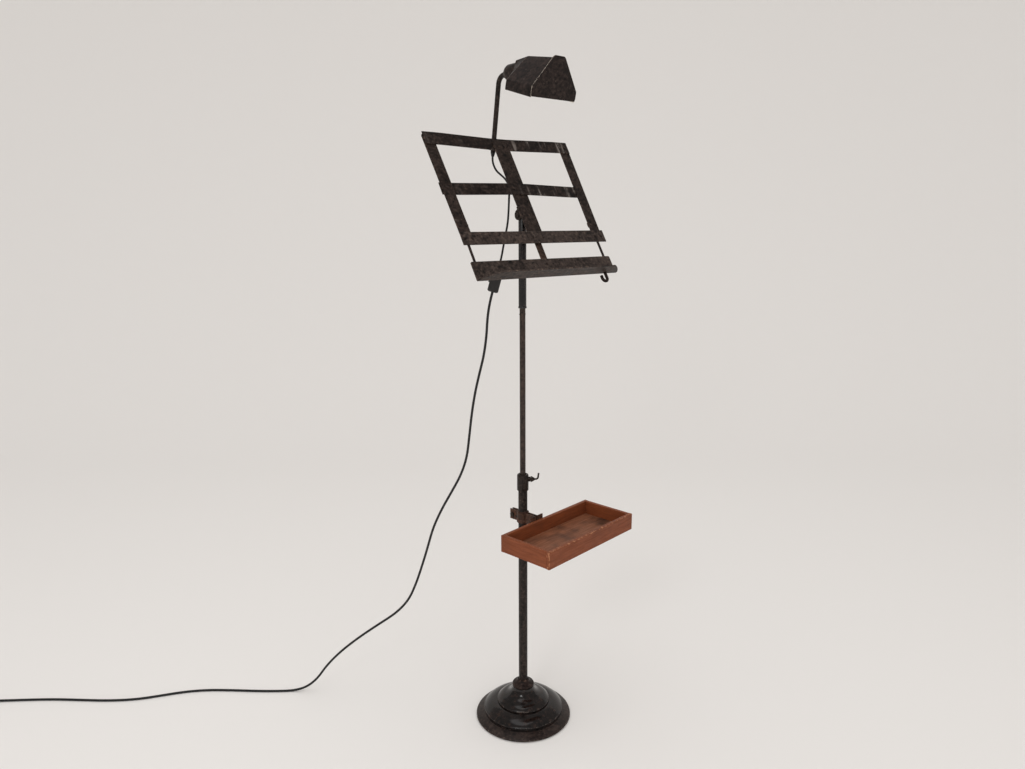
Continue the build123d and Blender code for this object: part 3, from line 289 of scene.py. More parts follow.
def makePiece(name, points, faces, mats, edge=None, uv=None, matOf=None, angle=35):
    mesh = bpy.data.meshes.new(name)
    mesh.from_pydata(points.reshape(-1, 3).tolist(), [], faces.tolist())
    for mat in mats:
        mesh.materials.append(mat)
    if matOf is not None:
        mesh.polygons.foreach_set("material_index", matOf.astype(np.int32))
    if edge is not None:
        wear = mesh.attributes.new("edge", "FLOAT", "POINT")
        wear.data.foreach_set("value", edge.reshape(-1).astype(np.float32))
    if uv is not None:
        mesh.uv_layers.new(name="board").data.foreach_set("uv", uv.reshape(-1).astype(np.float32))
    tidyMesh(mesh)
    mesh.polygons.foreach_set("use_smooth", np.full(len(mesh.polygons), True))
    mesh.set_sharp_from_angle(angle=math.radians(angle))
    piece = bpy.data.objects.new(name, mesh)
    bpy.context.scene.collection.objects.link(piece)
    return piece


def tidyMesh(mesh):  # close seams and poles, then point every face outwards
    form = bmesh.new()
    form.from_mesh(mesh)
    bmesh.ops.remove_doubles(form, verts=form.verts, dist=2e-6)
    bmesh.ops.dissolve_degenerate(form, edges=form.edges, dist=1e-7)
    bmesh.ops.recalc_face_normals(form, faces=form.faces)
    form.to_mesh(mesh)
    form.free()


def settle(piece, body, slot, *nodes):  # the piece rides on its body and stands for these nodes
    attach(piece, body)
    if nodes:
        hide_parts(*nodes)


def stations(low, high, step, rim):  # places from low to high, closer together within rim of both ends
    near = rim * np.array([0.0, 0.13, 0.4, 0.75, 1.0, 2.2])
    inner = np.linspace(low + near[-1], high - near[-1], max(int((high - low) / step), 2) + 1)
    return np.concatenate([low + near[:-1], inner, (high - near[:-1])[::-1]])


wearing = dict(reach=1.6, backShift=(0.37, 0.21), turnFrom=0.15, turnGain=4)


# columns of front and back joined to rings, closed by the middle's first and last row or else by their own
def bothFaces(front, back, middle=None):
    ring = np.concatenate([front, back[:, ::-1]], axis=1)
    close = ring if middle is None else np.concatenate([middle, middle[:, ::-1]], axis=1)
    return np.concatenate([close[:1], ring, close[-1:]])


# a sheet or board: a mid surface pushed out by half its thickness on both sides along its normal, and that
# half falls to half minus rim at the border, on a quarter circle of the distances rowGap and colGap from it
def slab(name, mid, normal, half, rim, rowGap, colGap, mats, boardUv=None, insideMat=None, wornAt=1.0):
    gap = np.minimum(rowGap[:, None], colGap)
    rise = np.sqrt(1 - (1 - np.clip(gap / rim, 0, 1)) ** 2)
    thick = (half - rim + rim * rise)[..., None] * mm
    points = bothFaces(mid + normal * thick, mid - normal * thick, mid)
    wear = np.clip(wearing["reach"] - gap / rim, 0, 1)
    rows, cols = points.shape[:2]
    faces = gridFaces(rows, cols, True)
    uv = matOf = None
    if boardUv is not None:
        uv = bothFaces(boardUv, boardUv + wearing["backShift"]).reshape(-1, 2)[faces.reshape(-1)]
    if insideMat is not None:
        column = np.tile(np.arange(cols), rows - 1)
        matOf = ((column >= cols // 2) & (column < cols - 1)) * insideMat
    return makePiece(name, points, faces, mats, bothFaces(wear * wornAt, wear), uv, matOf)


# a piece turned from a profile of (radius, height) points in mm round an axis through origin; the wear of a
# corner grows with the sine of its turn where it turns outwards; place is its body, its slot and its nodes
def lathe(name, profile, mat, *place, origin=(0, 0, 0), axis=(0, 0, 1), turns=72):
    profile = np.asarray(profile, float)
    axis = unit(np.asarray(axis, float))
    aside = unit(np.cross(axis, (0.0, 1.0, 0.0) if abs(axis[1]) < 0.9 else (1.0, 0.0, 0.0)))
    c, s = circle(turns)
    around = c[:, None] * aside + s[:, None] * np.cross(axis, aside)
    points = np.asarray(origin, float) + profile[:, None, 1:] * axis + profile[:, None, :1] * around
    step = np.diff(profile, axis=0)
    step /= np.maximum(np.linalg.norm(step, axis=1, keepdims=True), 1e-6)
    turn = np.pad(step[:-1, 0] * step[1:, 1] - step[:-1, 1] * step[1:, 0], 1)
    wear = np.clip((turn - wearing["turnFrom"]) * wearing["turnGain"], 0, 1)
    faces = gridFaces(len(profile), turns, True)
    settle(makePiece(name, points * mm, faces, [mat], np.repeat(wear[:, None], turns, axis=1)), *place)


# places near the end of an edge, closest where its corner of that radius turns
def roundEnd(end, radius, count):
    return end - radius * (1 - np.cos(np.linspace(0, np.pi / 2, count)))


def mergeStations(*runs):  # several runs of places as one rising run
    return np.unique(np.round(np.concatenate(runs), 4))


def softCorners(points, radius, steps=4):  # round each inner corner of a profile on a small parabola
    p = np.asarray(points, float)
    before, corner, after = p[:-2], p[1:-1], p[2:]
    a, b = before - corner, after - corner
    la, lb = np.linalg.norm(a, axis=1, keepdims=True), np.linalg.norm(b, axis=1, keepdims=True)
    cut = np.minimum(radius, 0.45 * np.minimum(la, lb))
    start, end = corner + a / la * cut, corner + b / lb * cut
    t = np.linspace(0, 1, steps)[None, :, None]
    bends = (1 - t) ** 2 * start[:, None] + 2 * t * (1 - t) * corner[:, None] + t ** 2 * end[:, None]
    return np.concatenate([p[:1], bends.reshape(-1, p.shape[1]), p[-1:]])


# count points on the circle through three points, from a to c: with points as complex numbers, the ratio of the
# chords a to c and a to b gives its centre
def arcThrough(a, b, c, count):
    a, b, c = (complex(*point) for point in (a, b, c))
    ratio = (c - a) / (b - a)
    centre = a + (b - a) * (ratio - abs(ratio) ** 2) / (ratio - ratio.conjugate())
    angles = np.unwrap(np.angle(np.array([a, b, c]) - centre))
    arc = centre + abs(a - centre) * np.exp(1j * np.linspace(angles[0], angles[2], count))
    return np.stack([arc.real, arc.imag], -1)


def closedTube(rings, ends):  # points and faces of rings in a row, drawn together to a point at both ends
    sides = rings.shape[1]
    points = np.concatenate([np.repeat(ends[:1, None], sides, 1), rings, np.repeat(ends[1:, None], sides, 1)])
    return points, gridFaces(len(points), sides, True)


# a circle carried along a path in metres, turned from point to point without twist, closed at both ends
def tube(name, path, radius, mats, sides=20):
    path = np.asarray(path, float)
    along = unit(np.gradient(path, axis=0))
    sideways = [unit(np.cross(along[0], (0.3, 0.5, 0.81)))]
    for heading in along[1:]:
        sideways.append(unit(sideways[-1] - heading * (sideways[-1] @ heading)))
    sideways = np.array(sideways)
    c, s = circle(sides)
    ring = c[:, None] * sideways[:, None] + s[:, None] * np.cross(along, sideways)[:, None]
    points = path[:, None] + ring * (radius * mm)
    return makePiece(name, *closedTube(points, path[[0, -1]]), mats, angle=50)


# the foot: a cast profile turned round the pole

poles = dict(outer=11.9, bore=8.5, rod=7.4, play=0.06, tubeLow=20, tubeTop=668, rodLow=480, rodTop=1318)
pole, bore, rod = poles["outer"], poles["bore"], poles["rod"]
profile = softCorners([(0, 0), (126, 0), (130, 3), (128.5, 6.5), (108, 14), (106, 15)], 1.6)
lathe("foot_rim", profile, flangeBrown, "base", "black_enamel", "base_foot", turns=128)
profile = np.concatenate([
    [(106.5, 14.5), (106.5, 23)], arcThrough((106.5, 23), (107.6, 25), (106, 27), 7),
    arcThrough((106, 27), (92, 38), (72, 44), 18), [(70.2, 44), (70, 46)],
    arcThrough((70, 46), (71, 48), (69, 50), 6), arcThrough((69, 50), (62, 56.5), (52, 61), 10),
    arcThrough((52, 61), (37, 70), (29, 87), 16), [(pole, 87)]])
lathe("foot_dome", profile, footEnamel, "base", "black_enamel", turns=128)
profile = np.concatenate([
    [(pole, 87)], arcThrough((27, 87), (29.5, 91.5), (26.5, 96), 10),
    arcThrough((26.5, 96), (19, 99), (15.5, 105), 10), [(14, 106.5), (pole, 106.5)]])
lathe("neck_bead", profile, ringBrown, "base", "brown_iron", "neck_ring")

# the lower tube and the rod that slides in it

low, high = poles["tubeLow"], poles["tubeTop"]
profile = softCorners([(bore, low), (pole, low), (pole, 200), (pole, 400), (pole, high), (bore, high),
                       (bore, low)], 0.5, 3)
lathe("lower_tube", profile, tubeLacquer, "base", "dark_iron", "lower_pole", turns=48)
low, high = poles["rodLow"], poles["rodTop"]
profile = softCorners([(0, low), (rod, low), (rod, 700), (rod, 900), (rod, 1100), (rod, high), (0, high)],
                      0.6, 3)
lathe("sliding_rod", profile, rodBrown, "mast", "brown_iron", "upper_pole", turns=40)
print("foot and poles ready")

# desk strips

# a flat strip in desk coordinates: stations x along it, its low and high edges there and its middle depth, as
# arrays or as plain numbers; place is its body, its slot and its node
def stripAlong(name, along, x, low, high, depth, mat, *place):
    low, high, depth = (np.broadcast_to(v, x.shape)[:, None] for v in (low, high, depth))
    w = low + stations(0, 1, 1 / 14, 0.02) * (high - low)
    u, s = (x[:, None], w) if along == "u" else (w, x[:, None])
    rowGap, colGap = np.minimum(x - x[0], x[-1] - x), np.minimum(w - low, high - w)
    mid = deskPoint(u, s, depth)
    settle(slab(name, mid, outward, desk["strip"] / 2, desk["rim"], rowGap, colGap, [mat]), *place)


def cornerInset(x, end, radius):  # how far a rounded corner draws an edge in, at places x before its end
    t = np.clip(radius - np.abs(end - x), 0, radius)
    return radius - np.sqrt(np.maximum(radius**2 - t**2, 0))


# stations up a strip whose top corners are rounded, and how far they draw its sides in there
def roundTop(s, corner, count=10):
    x = mergeStations(stations(s["foot"], s["top"], 6, desk["rim"]), roundEnd(s["top"], corner, count))
    return x, cornerInset(x, s["top"], corner)


uprights = dict(top=188, foot=-100, topEdge=225.5, footEdge=218, wide=31)
for name, side, corner in (("left", -1, 8), ("right", 1, 20)):
    x, inset = roundTop(uprights, corner, 14)
    edge = np.interp(x, [uprights["foot"], uprights["top"]], [uprights["footEdge"], uprights["topEdge"]])
    inner, outer = edge - uprights["wide"], edge - inset
    low, high = (inner, outer) if side > 0 else (-outer, -inner)
    stripAlong(name + "_side_strip", "s", x, low, high, -desk["strip"] / 2, stripLacquer, "desk", "dark_iron",
               name + "_upright")

strut = dict(half=23, top=184, foot=-100, corner=7)
x, inset = roundTop(strut, strut["corner"])
edge = strut["half"] - inset
stripAlong("middle_strut_strip", "s", x, -edge, edge, -desk["strip"] / 2, stripLacquer, "desk", "dark_iron",
           "centre_strut")

bars = dict(half=223, inner=30, outer=180, top=(158, 191, -4.5), middle=(27.5, 58.5, 1.5))
for name in ("top", "middle"):
    low, high, centre = bars[name]
    x = stations(-bars["half"], bars["half"], 4, desk["rim"])
    fine = np.arange(-bars["half"] - 12, bars["half"] + 13, 1.0)
    bend = np.interp(np.abs(fine), [bars["inner"], bars["outer"]], [centre, -desk["strip"] - centre])
    bend = np.convolve(np.pad(bend, 8, mode="edge"), np.full(17, 1 / 17), mode="valid")  # soft bends
    stripAlong(name + "_rail_strip", "u", x, low, high, np.interp(x, fine, bend), railLacquer, "desk",
               "dark_iron", name + "_bar")

lowRail = dict(low=-106, high=-73.5, left=-221, right=224)
x = stations(lowRail["left"], lowRail["right"], 8, desk["rim"])
stripAlong("lower_rail_strip", "u", x, lowRail["low"], lowRail["high"], desk["strip"] / 2, ledgeLacquer, "desk",
           "dark_iron", "lower_bar")
print("desk strips ready")

# ledge: one folded sheet, so its middle surface is an L with a rounded fold; the shelf's front corners are cut
# on a curve where the powers of both shares add up to one

ledge = dict(left=-218, right=215, top=-146.5, foot=-195, deep=41, gap=0.3, bend=1, topCorner=4, cutDeep=34,
             cutRun=(50, 36), cutPower=1.25)


def ledgeSheet(s):
    foldRadius = s["bend"] + desk["strip"] / 2
    back = -s["gap"] - desk["strip"] / 2
    floor = s["foot"] + desk["strip"] / 2
    u = stations(s["left"], s["right"], 7, desk["rim"])
    u = mergeStations(u, roundEnd(s["left"], -s["cutRun"][0], 24), roundEnd(s["right"], s["cutRun"][1], 24))
    fromEnd = np.minimum(u - s["left"], s["right"] - u)
    share = np.clip(1 - fromEnd / np.where(u < 0, *s["cutRun"]), 0, 1)
    cut = s["cutDeep"] * (1 - (1 - share ** s["cutPower"]) ** (1 / s["cutPower"]))
    top = s["top"] - cornerInset(fromEnd, 0, s["topCorner"])
    front = s["deep"] - s["gap"] - desk["strip"] - cut
    down = stations(0, 1, 1 / 10, 0.02)[::-1]
    fold = np.linspace(np.pi, 1.5 * np.pi, 9)[1:-1]
    out = stations(0, 1, 1 / 8, 0.03)
    plateS = floor + foldRadius + down * (top - floor - foldRadius)[:, None]
    foldS = np.broadcast_to(floor + foldRadius + foldRadius * np.sin(fold), (len(u), len(fold)))
    foldN = np.broadcast_to(back + foldRadius + foldRadius * np.cos(fold), (len(u), len(fold)))
    shelfN = back + foldRadius + out * (front - back - foldRadius)[:, None]
    sAll = np.concatenate([plateS, foldS, np.full(shelfN.shape, floor)], axis=1)
    nAll = np.concatenate([np.full(plateS.shape, back), foldN, shelfN], axis=1)
    mid = deskPoint(u[:, None], sAll, nAll)
    normalS = np.concatenate([np.zeros(len(down)), -np.sin(fold), np.ones(len(out))])
    normalN = np.concatenate([np.ones(len(down)), -np.cos(fold), np.zeros(len(out))])
    normal = normalS[:, None] * slope + normalN[:, None] * outward
    colGap = np.minimum(top[:, None] - sAll + np.maximum(nAll - back, 0), front[:, None] - nAll)
    rowGap = np.minimum(u - u[0], u[-1] - u)
    return slab("folded_ledge", mid, normal, desk["strip"] / 2, desk["rim"], rowGap, colGap, [ledgeLacquer])


settle(ledgeSheet(ledge), "ledge", "dark_iron", "ledge")

centreStrip = dict(half=9.5, top=5, foot=-191, corner=6, depth=-4.8)
x, inset = roundTop(centreStrip, centreStrip["corner"])
edge = centreStrip["half"] - inset
stripAlong("sliding_centre_strip", "s", x, -edge, edge, centreStrip["depth"], stripCopper, "ledge",
           "copper_brown", "ledge_centre_strip")
print("ledge ready")

# rods and bent tubes


def roundedPath(points, radius):  # straight runs in mm joined by arcs, as a path in metres
    p = np.asarray(points, float)
    runs = [p[:1]]
    for before, corner, after in zip(p, p[1:], p[2:]):
        a, b = unit(before - corner), unit(after - corner)
        half = math.acos(a @ b) / 2
        inward, sideways = unit(a + b), unit(b - a)
        turn = np.linspace(half - math.pi / 2, math.pi / 2 - half, 14)[:, None]
        centre = corner + inward * (radius / math.sin(half))
        runs.append(centre + radius * (np.sin(turn) * sideways - np.cos(turn) * inward))
    return np.vstack([*runs, p[-1:]]) * mm


sideRod = dict(u=202, radius=3, top=-15, flatWide=5.5, flatDeep=1.5, flatTo=-174, roundFrom=-166)


# a round rod hammered flat at its foot: half width, half depth and middle depth are ramps along the slope, and
# each section is the curve where the powers of both shares add up to one
def flatFootRod(name, side, s):
    low = ledge["foot"] + 4
    x = np.concatenate([stations(low, s["flatTo"], 3, 0.6), np.linspace(s["flatTo"], s["roundFrom"], 9)[1:-1],
                        stations(s["roundFrom"], s["top"], 20, 0.6)])
    ramp = [s["flatTo"], s["roundFrom"]]
    back = -2 * desk["strip"] - ledge["gap"]
    wide, deep, depth, power = (np.interp(x, ramp, ends)[:, None] for ends in (
        (s["flatWide"], s["radius"]), (s["flatDeep"], s["radius"]), (back + s["flatDeep"], back), (5, 2)))
    tip = 1 - 0.25 * np.clip(1 - np.minimum(x - low, s["top"] - x), 0, 1)[:, None] ** 2
    c, d = circle(28)
    u = side * s["u"] + wide * tip * np.sign(c) * np.abs(c) ** (2 / power)
    n = depth + deep * tip * np.sign(d) * np.abs(d) ** (2 / power)
    points = deskPoint(u, x[:, None], n)
    ends = deskPoint(side * s["u"], x[[0, -1]], depth[[0, -1], 0])
    return makePiece(name, *closedTube(points, ends), [stripLacquer])


for name, side in (("left", -1), ("right", 1)):
    settle(flatFootRod(name + "_slide_rod", side, sideRod), "ledge", "dark_iron", "ledge_rod_" + name)

hook = dict(u=171, n=4.5, rod=3.8, drop=23, wide=24, tip=8)
hookSpan = hook["wide"] - 2 * hook["rod"]
hookBend = hook["wide"] / 2 - hook["rod"] - 0.2
hookU = hook["u"] + np.array([0, 0, -hookSpan, -hookSpan])
hookS = ledge["foot"] - np.array([0, hook["drop"], hook["drop"], hook["tip"]])
hookPath = roundedPath(deskPoint(hookU, hookS, hook["n"]) / mm, hookBend)
settle(tube("wire_hook", hookPath, hook["rod"], [stripLacquer]), "ledge", "dark_iron", "ledge_hook")

arm = dict(foot=(0, 114, 1505), lean=8.9, height=1680.6, end=48, bend=22, radius=6)
armFoot = np.array(arm["foot"], float)
armUp = np.array([0.0, -math.sin(math.radians(arm["lean"])), math.cos(math.radians(arm["lean"]))])
armCorner = armFoot + armUp * ((arm["height"] - armFoot[2]) / armUp[2])
armPath = roundedPath([armFoot, armCorner, (0, arm["end"], arm["height"])], arm["bend"])
settle(tube("bent_lamp_arm", armPath, arm["radius"], [tubeLacquer], 32), "arm", "dark_iron", "lamp_arm")

# rivets: a shank with a low dome at both ends, all of one group in one mesh

rivet = dict(head=4.2, tall=1.8, shank=2.4, around=20)
hingeS = (desk["hingeHeight"] - desk["origin"][2]) * math.cos(lean) - desk["origin"][1] * math.sin(lean)


def rivetGroup(name, places, s):
    u, up, back, face = (np.array(column)[:, None, None] for column in zip(*places))
    dome = np.linspace(0, np.pi / 2, 7)
    radius = np.concatenate([s["head"] * np.sin(dome), [s["shank"]] * 2, s["head"] * np.cos(dome)])[:, None]
    front = np.repeat([0.0, 1.0], 8)[:, None]
    lift = np.concatenate([-s["tall"] * np.cos(dome), [0, 0], s["tall"] * np.sin(dome)])[:, None]
    c, d = circle(s["around"])
    points = deskPoint(u + radius * c, up + radius * d, back + (face - back) * front + lift)
    one = gridFaces(radius.size, s["around"], True)
    faces = (np.arange(len(places))[:, None, None] * radius.size * s["around"] + one).reshape(-1, 4)
    return makePiece(name, points, faces, [stripLacquer])


def bothSides(u, s, back, face):
    return [(-u, s, back, face), (u, s, back, face)]


# each place is u, s and the depths of the back and the front of what the rivet holds
saddle = dict(rivets=9.8, rows=((-55, 0), (-89.75, 3)), back=-4.6)
lug = dict(u=18.2, rivets=7.5)
deskPlaces = [*bothSides(209.65, 174.5, -3, 3), *bothSides(206.22, 43, -6, 0), *bothSides(9, 166, -9, 0),
              *bothSides(15.5, 43, -3, 3), *bothSides(15.5, -89.75, -3, 3)]
for u in (sideRod["u"] - saddle["rivets"], sideRod["u"] + saddle["rivets"]):
    for s, face in saddle["rows"]:
        deskPlaces += bothSides(u, s, saddle["back"], face)
for s in (hingeS - lug["rivets"], hingeS + lug["rivets"]):
    deskPlaces += bothSides(lug["u"], s, -2 * desk["strip"], 0)
settle(rivetGroup("desk_rivet_heads", deskPlaces, rivet), "desk", "worn_steel", "desk_rivets")
face = -ledge["gap"]
back = face - 2 * desk["strip"]
ledgePlaces = [*bothSides(sideRod["u"], ledge["foot"] + 12, back, face), (0, -160, back, face),
               (0, -178, back, face)]
settle(rivetGroup("ledge_rivet_heads", ledgePlaces, rivet), "ledge", "worn_steel", "ledge_rivets")
print("rods and rivets ready")

# sleeve, clamp collar and its screw

hole = rod + poles["play"]
sleeve = dict(outer=9.8, bead=10.7, low=1126, high=1347, roof=poles["rodTop"] + 0.4)
outer, bead, low, high, roof = sleeve.values()
profile = softCorners([(0, roof), (hole, roof), (hole, low), (bead, low), (bead, low + 4), (outer, low + 5),
                       (outer, high), (0, high)], 0.7)
lathe("turning_sleeve", profile, sleeveGloss, "head", "gloss_black", "head_sleeve")
profile = softCorners([(4, 0), (4, -10.7), (11, -10.7), (11, 10.7), (4, 10.7), (4, 0)], 0.8)
lathe("hinge_knuckle", profile, sleeveGloss, "head", "gloss_black", origin=(0, 0, desk["hingeHeight"]),
      axis=(1, 0, 0))
clampScrew = dict(height=681, heading=-39.0, handle=2.3)
screwOut = levelHeading(math.radians(clampScrew["heading"]))
screwRoot = straightUp * clampScrew["height"]
onScrew = dict(origin=screwRoot, axis=screwOut, turns=40)
profile = [(pole, 660), (pole, 652), (15, 652), (15, 690), (14.4, 694), (12.5, 695), (10, 695), (9, 692),
           (hole, 691), (hole, poles["tubeTop"]), (pole, poles["tubeTop"]), (pole, 660)]
lathe("turned_collar", softCorners(profile, 0.6), tubeLacquer, "base", "dark_iron", "clamp_collar")
profile = softCorners([(3.06, 15), (3.06, 10), (6.5, 10), (6.5, 20), (3.06, 20), (3.06, 15)], 0.7)
lathe("collar_boss", profile, tubeLacquer, "base", "dark_iron", **onScrew)
profile = softCorners([(0, 7.8), (3, 7.8), (3, 20.4), (7.5, 20.4), (7.5, 23), (3, 31), (0, 31)], 0.6)
lathe("clamp_screw_stem", profile, fixingSteel, "clamp_screw", "worn_steel", "clamp_screw", **onScrew)
handlePath = roundedPath(
    [screwRoot + screwOut * 29, screwRoot + screwOut * 39, screwRoot + screwOut * 41 + straightUp * 16], 6)
settle(tube("clamp_screw_handle", handlePath, clampScrew["handle"], [fixingSteel]), "clamp_screw", "worn_steel")
print("sleeve and collar ready")

# lamp: turned pieces round its axis, given as (radius, distance along Y), and a folded shade

onLamp = dict(origin=(0, 0, arm["height"]), axis=(0, 1, 0))
onArm = arm["radius"] + poles["play"]
profile = softCorners([(onArm, 58), (onArm, 54), (8.5, 54), (9, 55.5), (9, 62), (7, 64), (onArm, 64),
                       (onArm, 58)], 0.5)
lathe("arm_stop_collar", profile, tubeLacquer, "shade", "gloss_black", "arm_collar", **onLamp)
profile = softCorners([(18.5, 20), (18.5, 6), (20, 6), (20, 42), (17, 49), (12, 53), (9, 54), (onArm, 54),
                       (onArm, 50), (12, 50), (18.5, 42), (18.5, 20)], 1.2)
lathe("socket_bell", profile, tubeLacquer, "shade", "gloss_black", "socket_cup", **onLamp)
bulbEnd = np.linspace(0, np.pi / 2, 14)
profile = np.vstack([softCorners([(0, -14), (11, -14), (12.5, -18), (12.5, -71.5)], 1.5),
                     np.column_stack([12.5 * np.cos(bulbEnd), -71.5 - 12.5 * np.sin(bulbEnd)])])
lathe("frosted_bulb", profile, bulbGlass, "shade", "bulb_glass", "bulb", **onLamp)

shade = dict(lean=14.0, sheet=1.5, bend=3.0, back=(-17, 1705.5, 1650, 1630, 12, 65), plate=2.0,
             front=(-107, 1688, 1623, 1602.5, 15, 65), neck=(6, 1703, 1672, 1660, 13, 24),
             plateMore=(4, 1.5, 1.5, 1, 1.5), plateCorner=4)
shadeLean = math.radians(shade["lean"])
shadeTilt = math.tan(shadeLean)


# a tent section as points (x, y, z): place along Y, heights of ridge, lip and rim, half widths of top and
# bottom; its corners are rounded, and y falls with the height over the rim by the tilt
def tentSection(section, tilt, closed):
    y, ridge, lip, rim, top, bottom = section
    inset = shade["sheet"] / 2
    left = [(-bottom + inset, rim), (-bottom + inset, lip), (-top, ridge - inset)]
    if closed:
        left = [(0, rim + inset), (-bottom + inset, rim + inset), *left[1:]]
    corners = np.array(left + [(-x, z) for x, z in left[::-1]])
    flat = softCorners(corners, shade["bend"], 5)
    last = len(flat) - 1
    cuts = [np.linspace(i, i + 1, 9 if i % 5 == 0 else 2)[:-1] for i in range(last)]  # runs finer than bends
    split = np.concatenate([*cuts, [float(last)]])
    x, z = (np.interp(split, np.arange(len(flat)), flat[:, axis]) for axis in (0, 1))
    return np.stack([x, y - (z - rim) * tilt, z], -1)


# a sheet stretched between two tent sections: straight lines join the points of the same place
def tentSheet(name, start, end, rowCount):
    share = stations(0, 1, 1 / rowCount, 0.012)[:, None, None]
    mid = (start + share * (end - start)) * mm
    normal = unit(np.cross(np.gradient(mid, axis=1), np.gradient(mid, axis=0)))
    if normal[len(mid) // 2, mid.shape[1] // 2, 2] < 0:
        normal = -normal
    reach = np.linalg.norm(end - start, axis=1).mean()
    rowGap = reach * np.minimum(share[:, 0, 0], 1 - share[:, 0, 0])
    run = np.concatenate([[0], np.cumsum(np.linalg.norm(np.diff(start, axis=0), axis=1))])
    colGap = np.minimum(run, run[-1] - run)
    return slab(name, mid, normal, shade["sheet"] / 2, 0.5, rowGap, colGap, [shadePaint, shadeWhite],
                insideMat=1)


start, end = (tentSection(shade[key], shadeTilt, False) for key in ("back", "front"))
settle(tentSheet("shade_hood", start, end, 14), "shade", "gloss_black", "shade_trough")
start, end = tentSection(shade["neck"], 0, True), tentSection(shade["back"], shadeTilt, True)
settle(tentSheet("shade_shoulder", start, end, 8), "shade", "gloss_black", "shade_back")


# the end plate: rows climb from rim to ridge, and each row runs between the plate's two sides
def endPlate(name, s):
    y, ridge, lip, rim, top, bottom = np.array(s["front"]) + np.array([0, *s["plateMore"]])
    z = np.unique(np.concatenate([stations(rim, ridge, 5, 0.6), roundEnd(ridge, s["plateCorner"], 8)]))
    half = np.interp(z, [rim, lip, ridge], [bottom, bottom, top])
    half = half - cornerInset(z, ridge, s["plateCorner"]) - cornerInset(z, rim, s["plateCorner"])
    x = half[:, None] * stations(-1, 1, 1 / 8, 0.02)[None, :]
    depth = y - s["plate"] / 2 - (z - s["front"][3]) * shadeTilt
    mid = np.stack([x, *np.broadcast_arrays(depth[:, None], z[:, None], x)[:2]], -1) * mm
    normal = np.array([0, -math.cos(shadeLean), -math.sin(shadeLean)])
    colGap = half[:, None] - np.abs(x)
    rowGap = np.minimum(z - rim, ridge - z)
    return slab(name, mid, normal, s["plate"] / 2, 0.6, rowGap, colGap, [plateLacquer, shadeWhite], insideMat=1)


settle(endPlate("shade_end_plate", shade), "shade", "gloss_black", "shade_front")
print("lamp ready")

# tray: five boards with worn edges, in the tray's own turned axes

tray = dict(turn=7.9, bottom=538.0, tall=43.0, long=336.0, wide=157.0, centre=35.0, back=-48.0, board=10.0,
            floorLow=2.0, floorThick=7.0, rim=1.0, rubbed=0.8)
trayX = levelHeading(math.radians(tray["turn"]))
trayY = np.array([-trayX[1], trayX[0], 0.0])


# a board about its middle point: the grain runs along the first direction, and the thickness is square to both
def plank(name, node, middle, along, over, long, wide, thick, mat, shift):
    a = stations(-long / 2, long / 2, 5, tray["rim"])
    b = stations(-wide / 2, wide / 2, 4, tray["rim"])
    mid = (middle + a[:, None, None] * along + b[None, :, None] * over) * mm
    grain = np.stack(np.meshgrid(a, b, indexing="ij"), -1) * mm + shift
    handled = 1.0
    if name == "tray_front_board":  # rubbed along its upper edge and down its left corner
        handled = 1 + tray["rubbed"] * np.maximum(b[None, :] > wide / 2 - 3, a[:, None] < 3 - long / 2)
    piece = slab(name, mid, np.cross(along, over), thick / 2, tray["rim"], long / 2 - np.abs(a),
                 wide / 2 - np.abs(b), [mat], grain, wornAt=handled)
    settle(piece, "tray", "red_brown_wood", node)


innerLong, innerWide = tray["long"] - 2 * tray["board"], tray["wide"] - 2 * tray["board"]
boardUp = straightUp * (tray["bottom"] + tray["tall"] / 2)
floorUp = straightUp * (tray["bottom"] + tray["floorLow"] + tray["floorThick"] / 2)
middle = trayX * tray["centre"] + trayY * (tray["back"] - tray["wide"] / 2)
plank("tray_bottom_board", "tray_floor", middle + floorUp, trayX, trayY, innerLong, innerWide,
      tray["floorThick"], floorWood, 0.0)
wallLong, wallWide = (tray["long"] - tray["board"]) / 2, (tray["wide"] - tray["board"]) / 2
for name, away, along, long, shift in (
        ("front", -wallWide * trayY, trayX, tray["long"], 0.9),
        ("back", wallWide * trayY, trayX, tray["long"], 1.9),
        ("left", -wallLong * trayX, trayY, innerWide, 2.9),
        ("right", wallLong * trayX, trayY, innerWide, 3.9)):
    plank("tray_" + name + "_board", "tray_" + name, middle + away + boardUp, along, straightUp, long,
          tray["tall"], tray["board"], wallWood, shift)
bush = pole + poles["play"]
profile = softCorners([(bush, 575), (bush, 563), (14.8, 563), (14.8, 564.7), (13, 564.7), (13, 594),
                       (bush, 594), (bush, 575)], 0.3)
lathe("clamp_bush", profile, bushFibre, "liner", "fibre", "clamp_liner")
print("tray ready")

# cords: the same routes as the solids, in mm

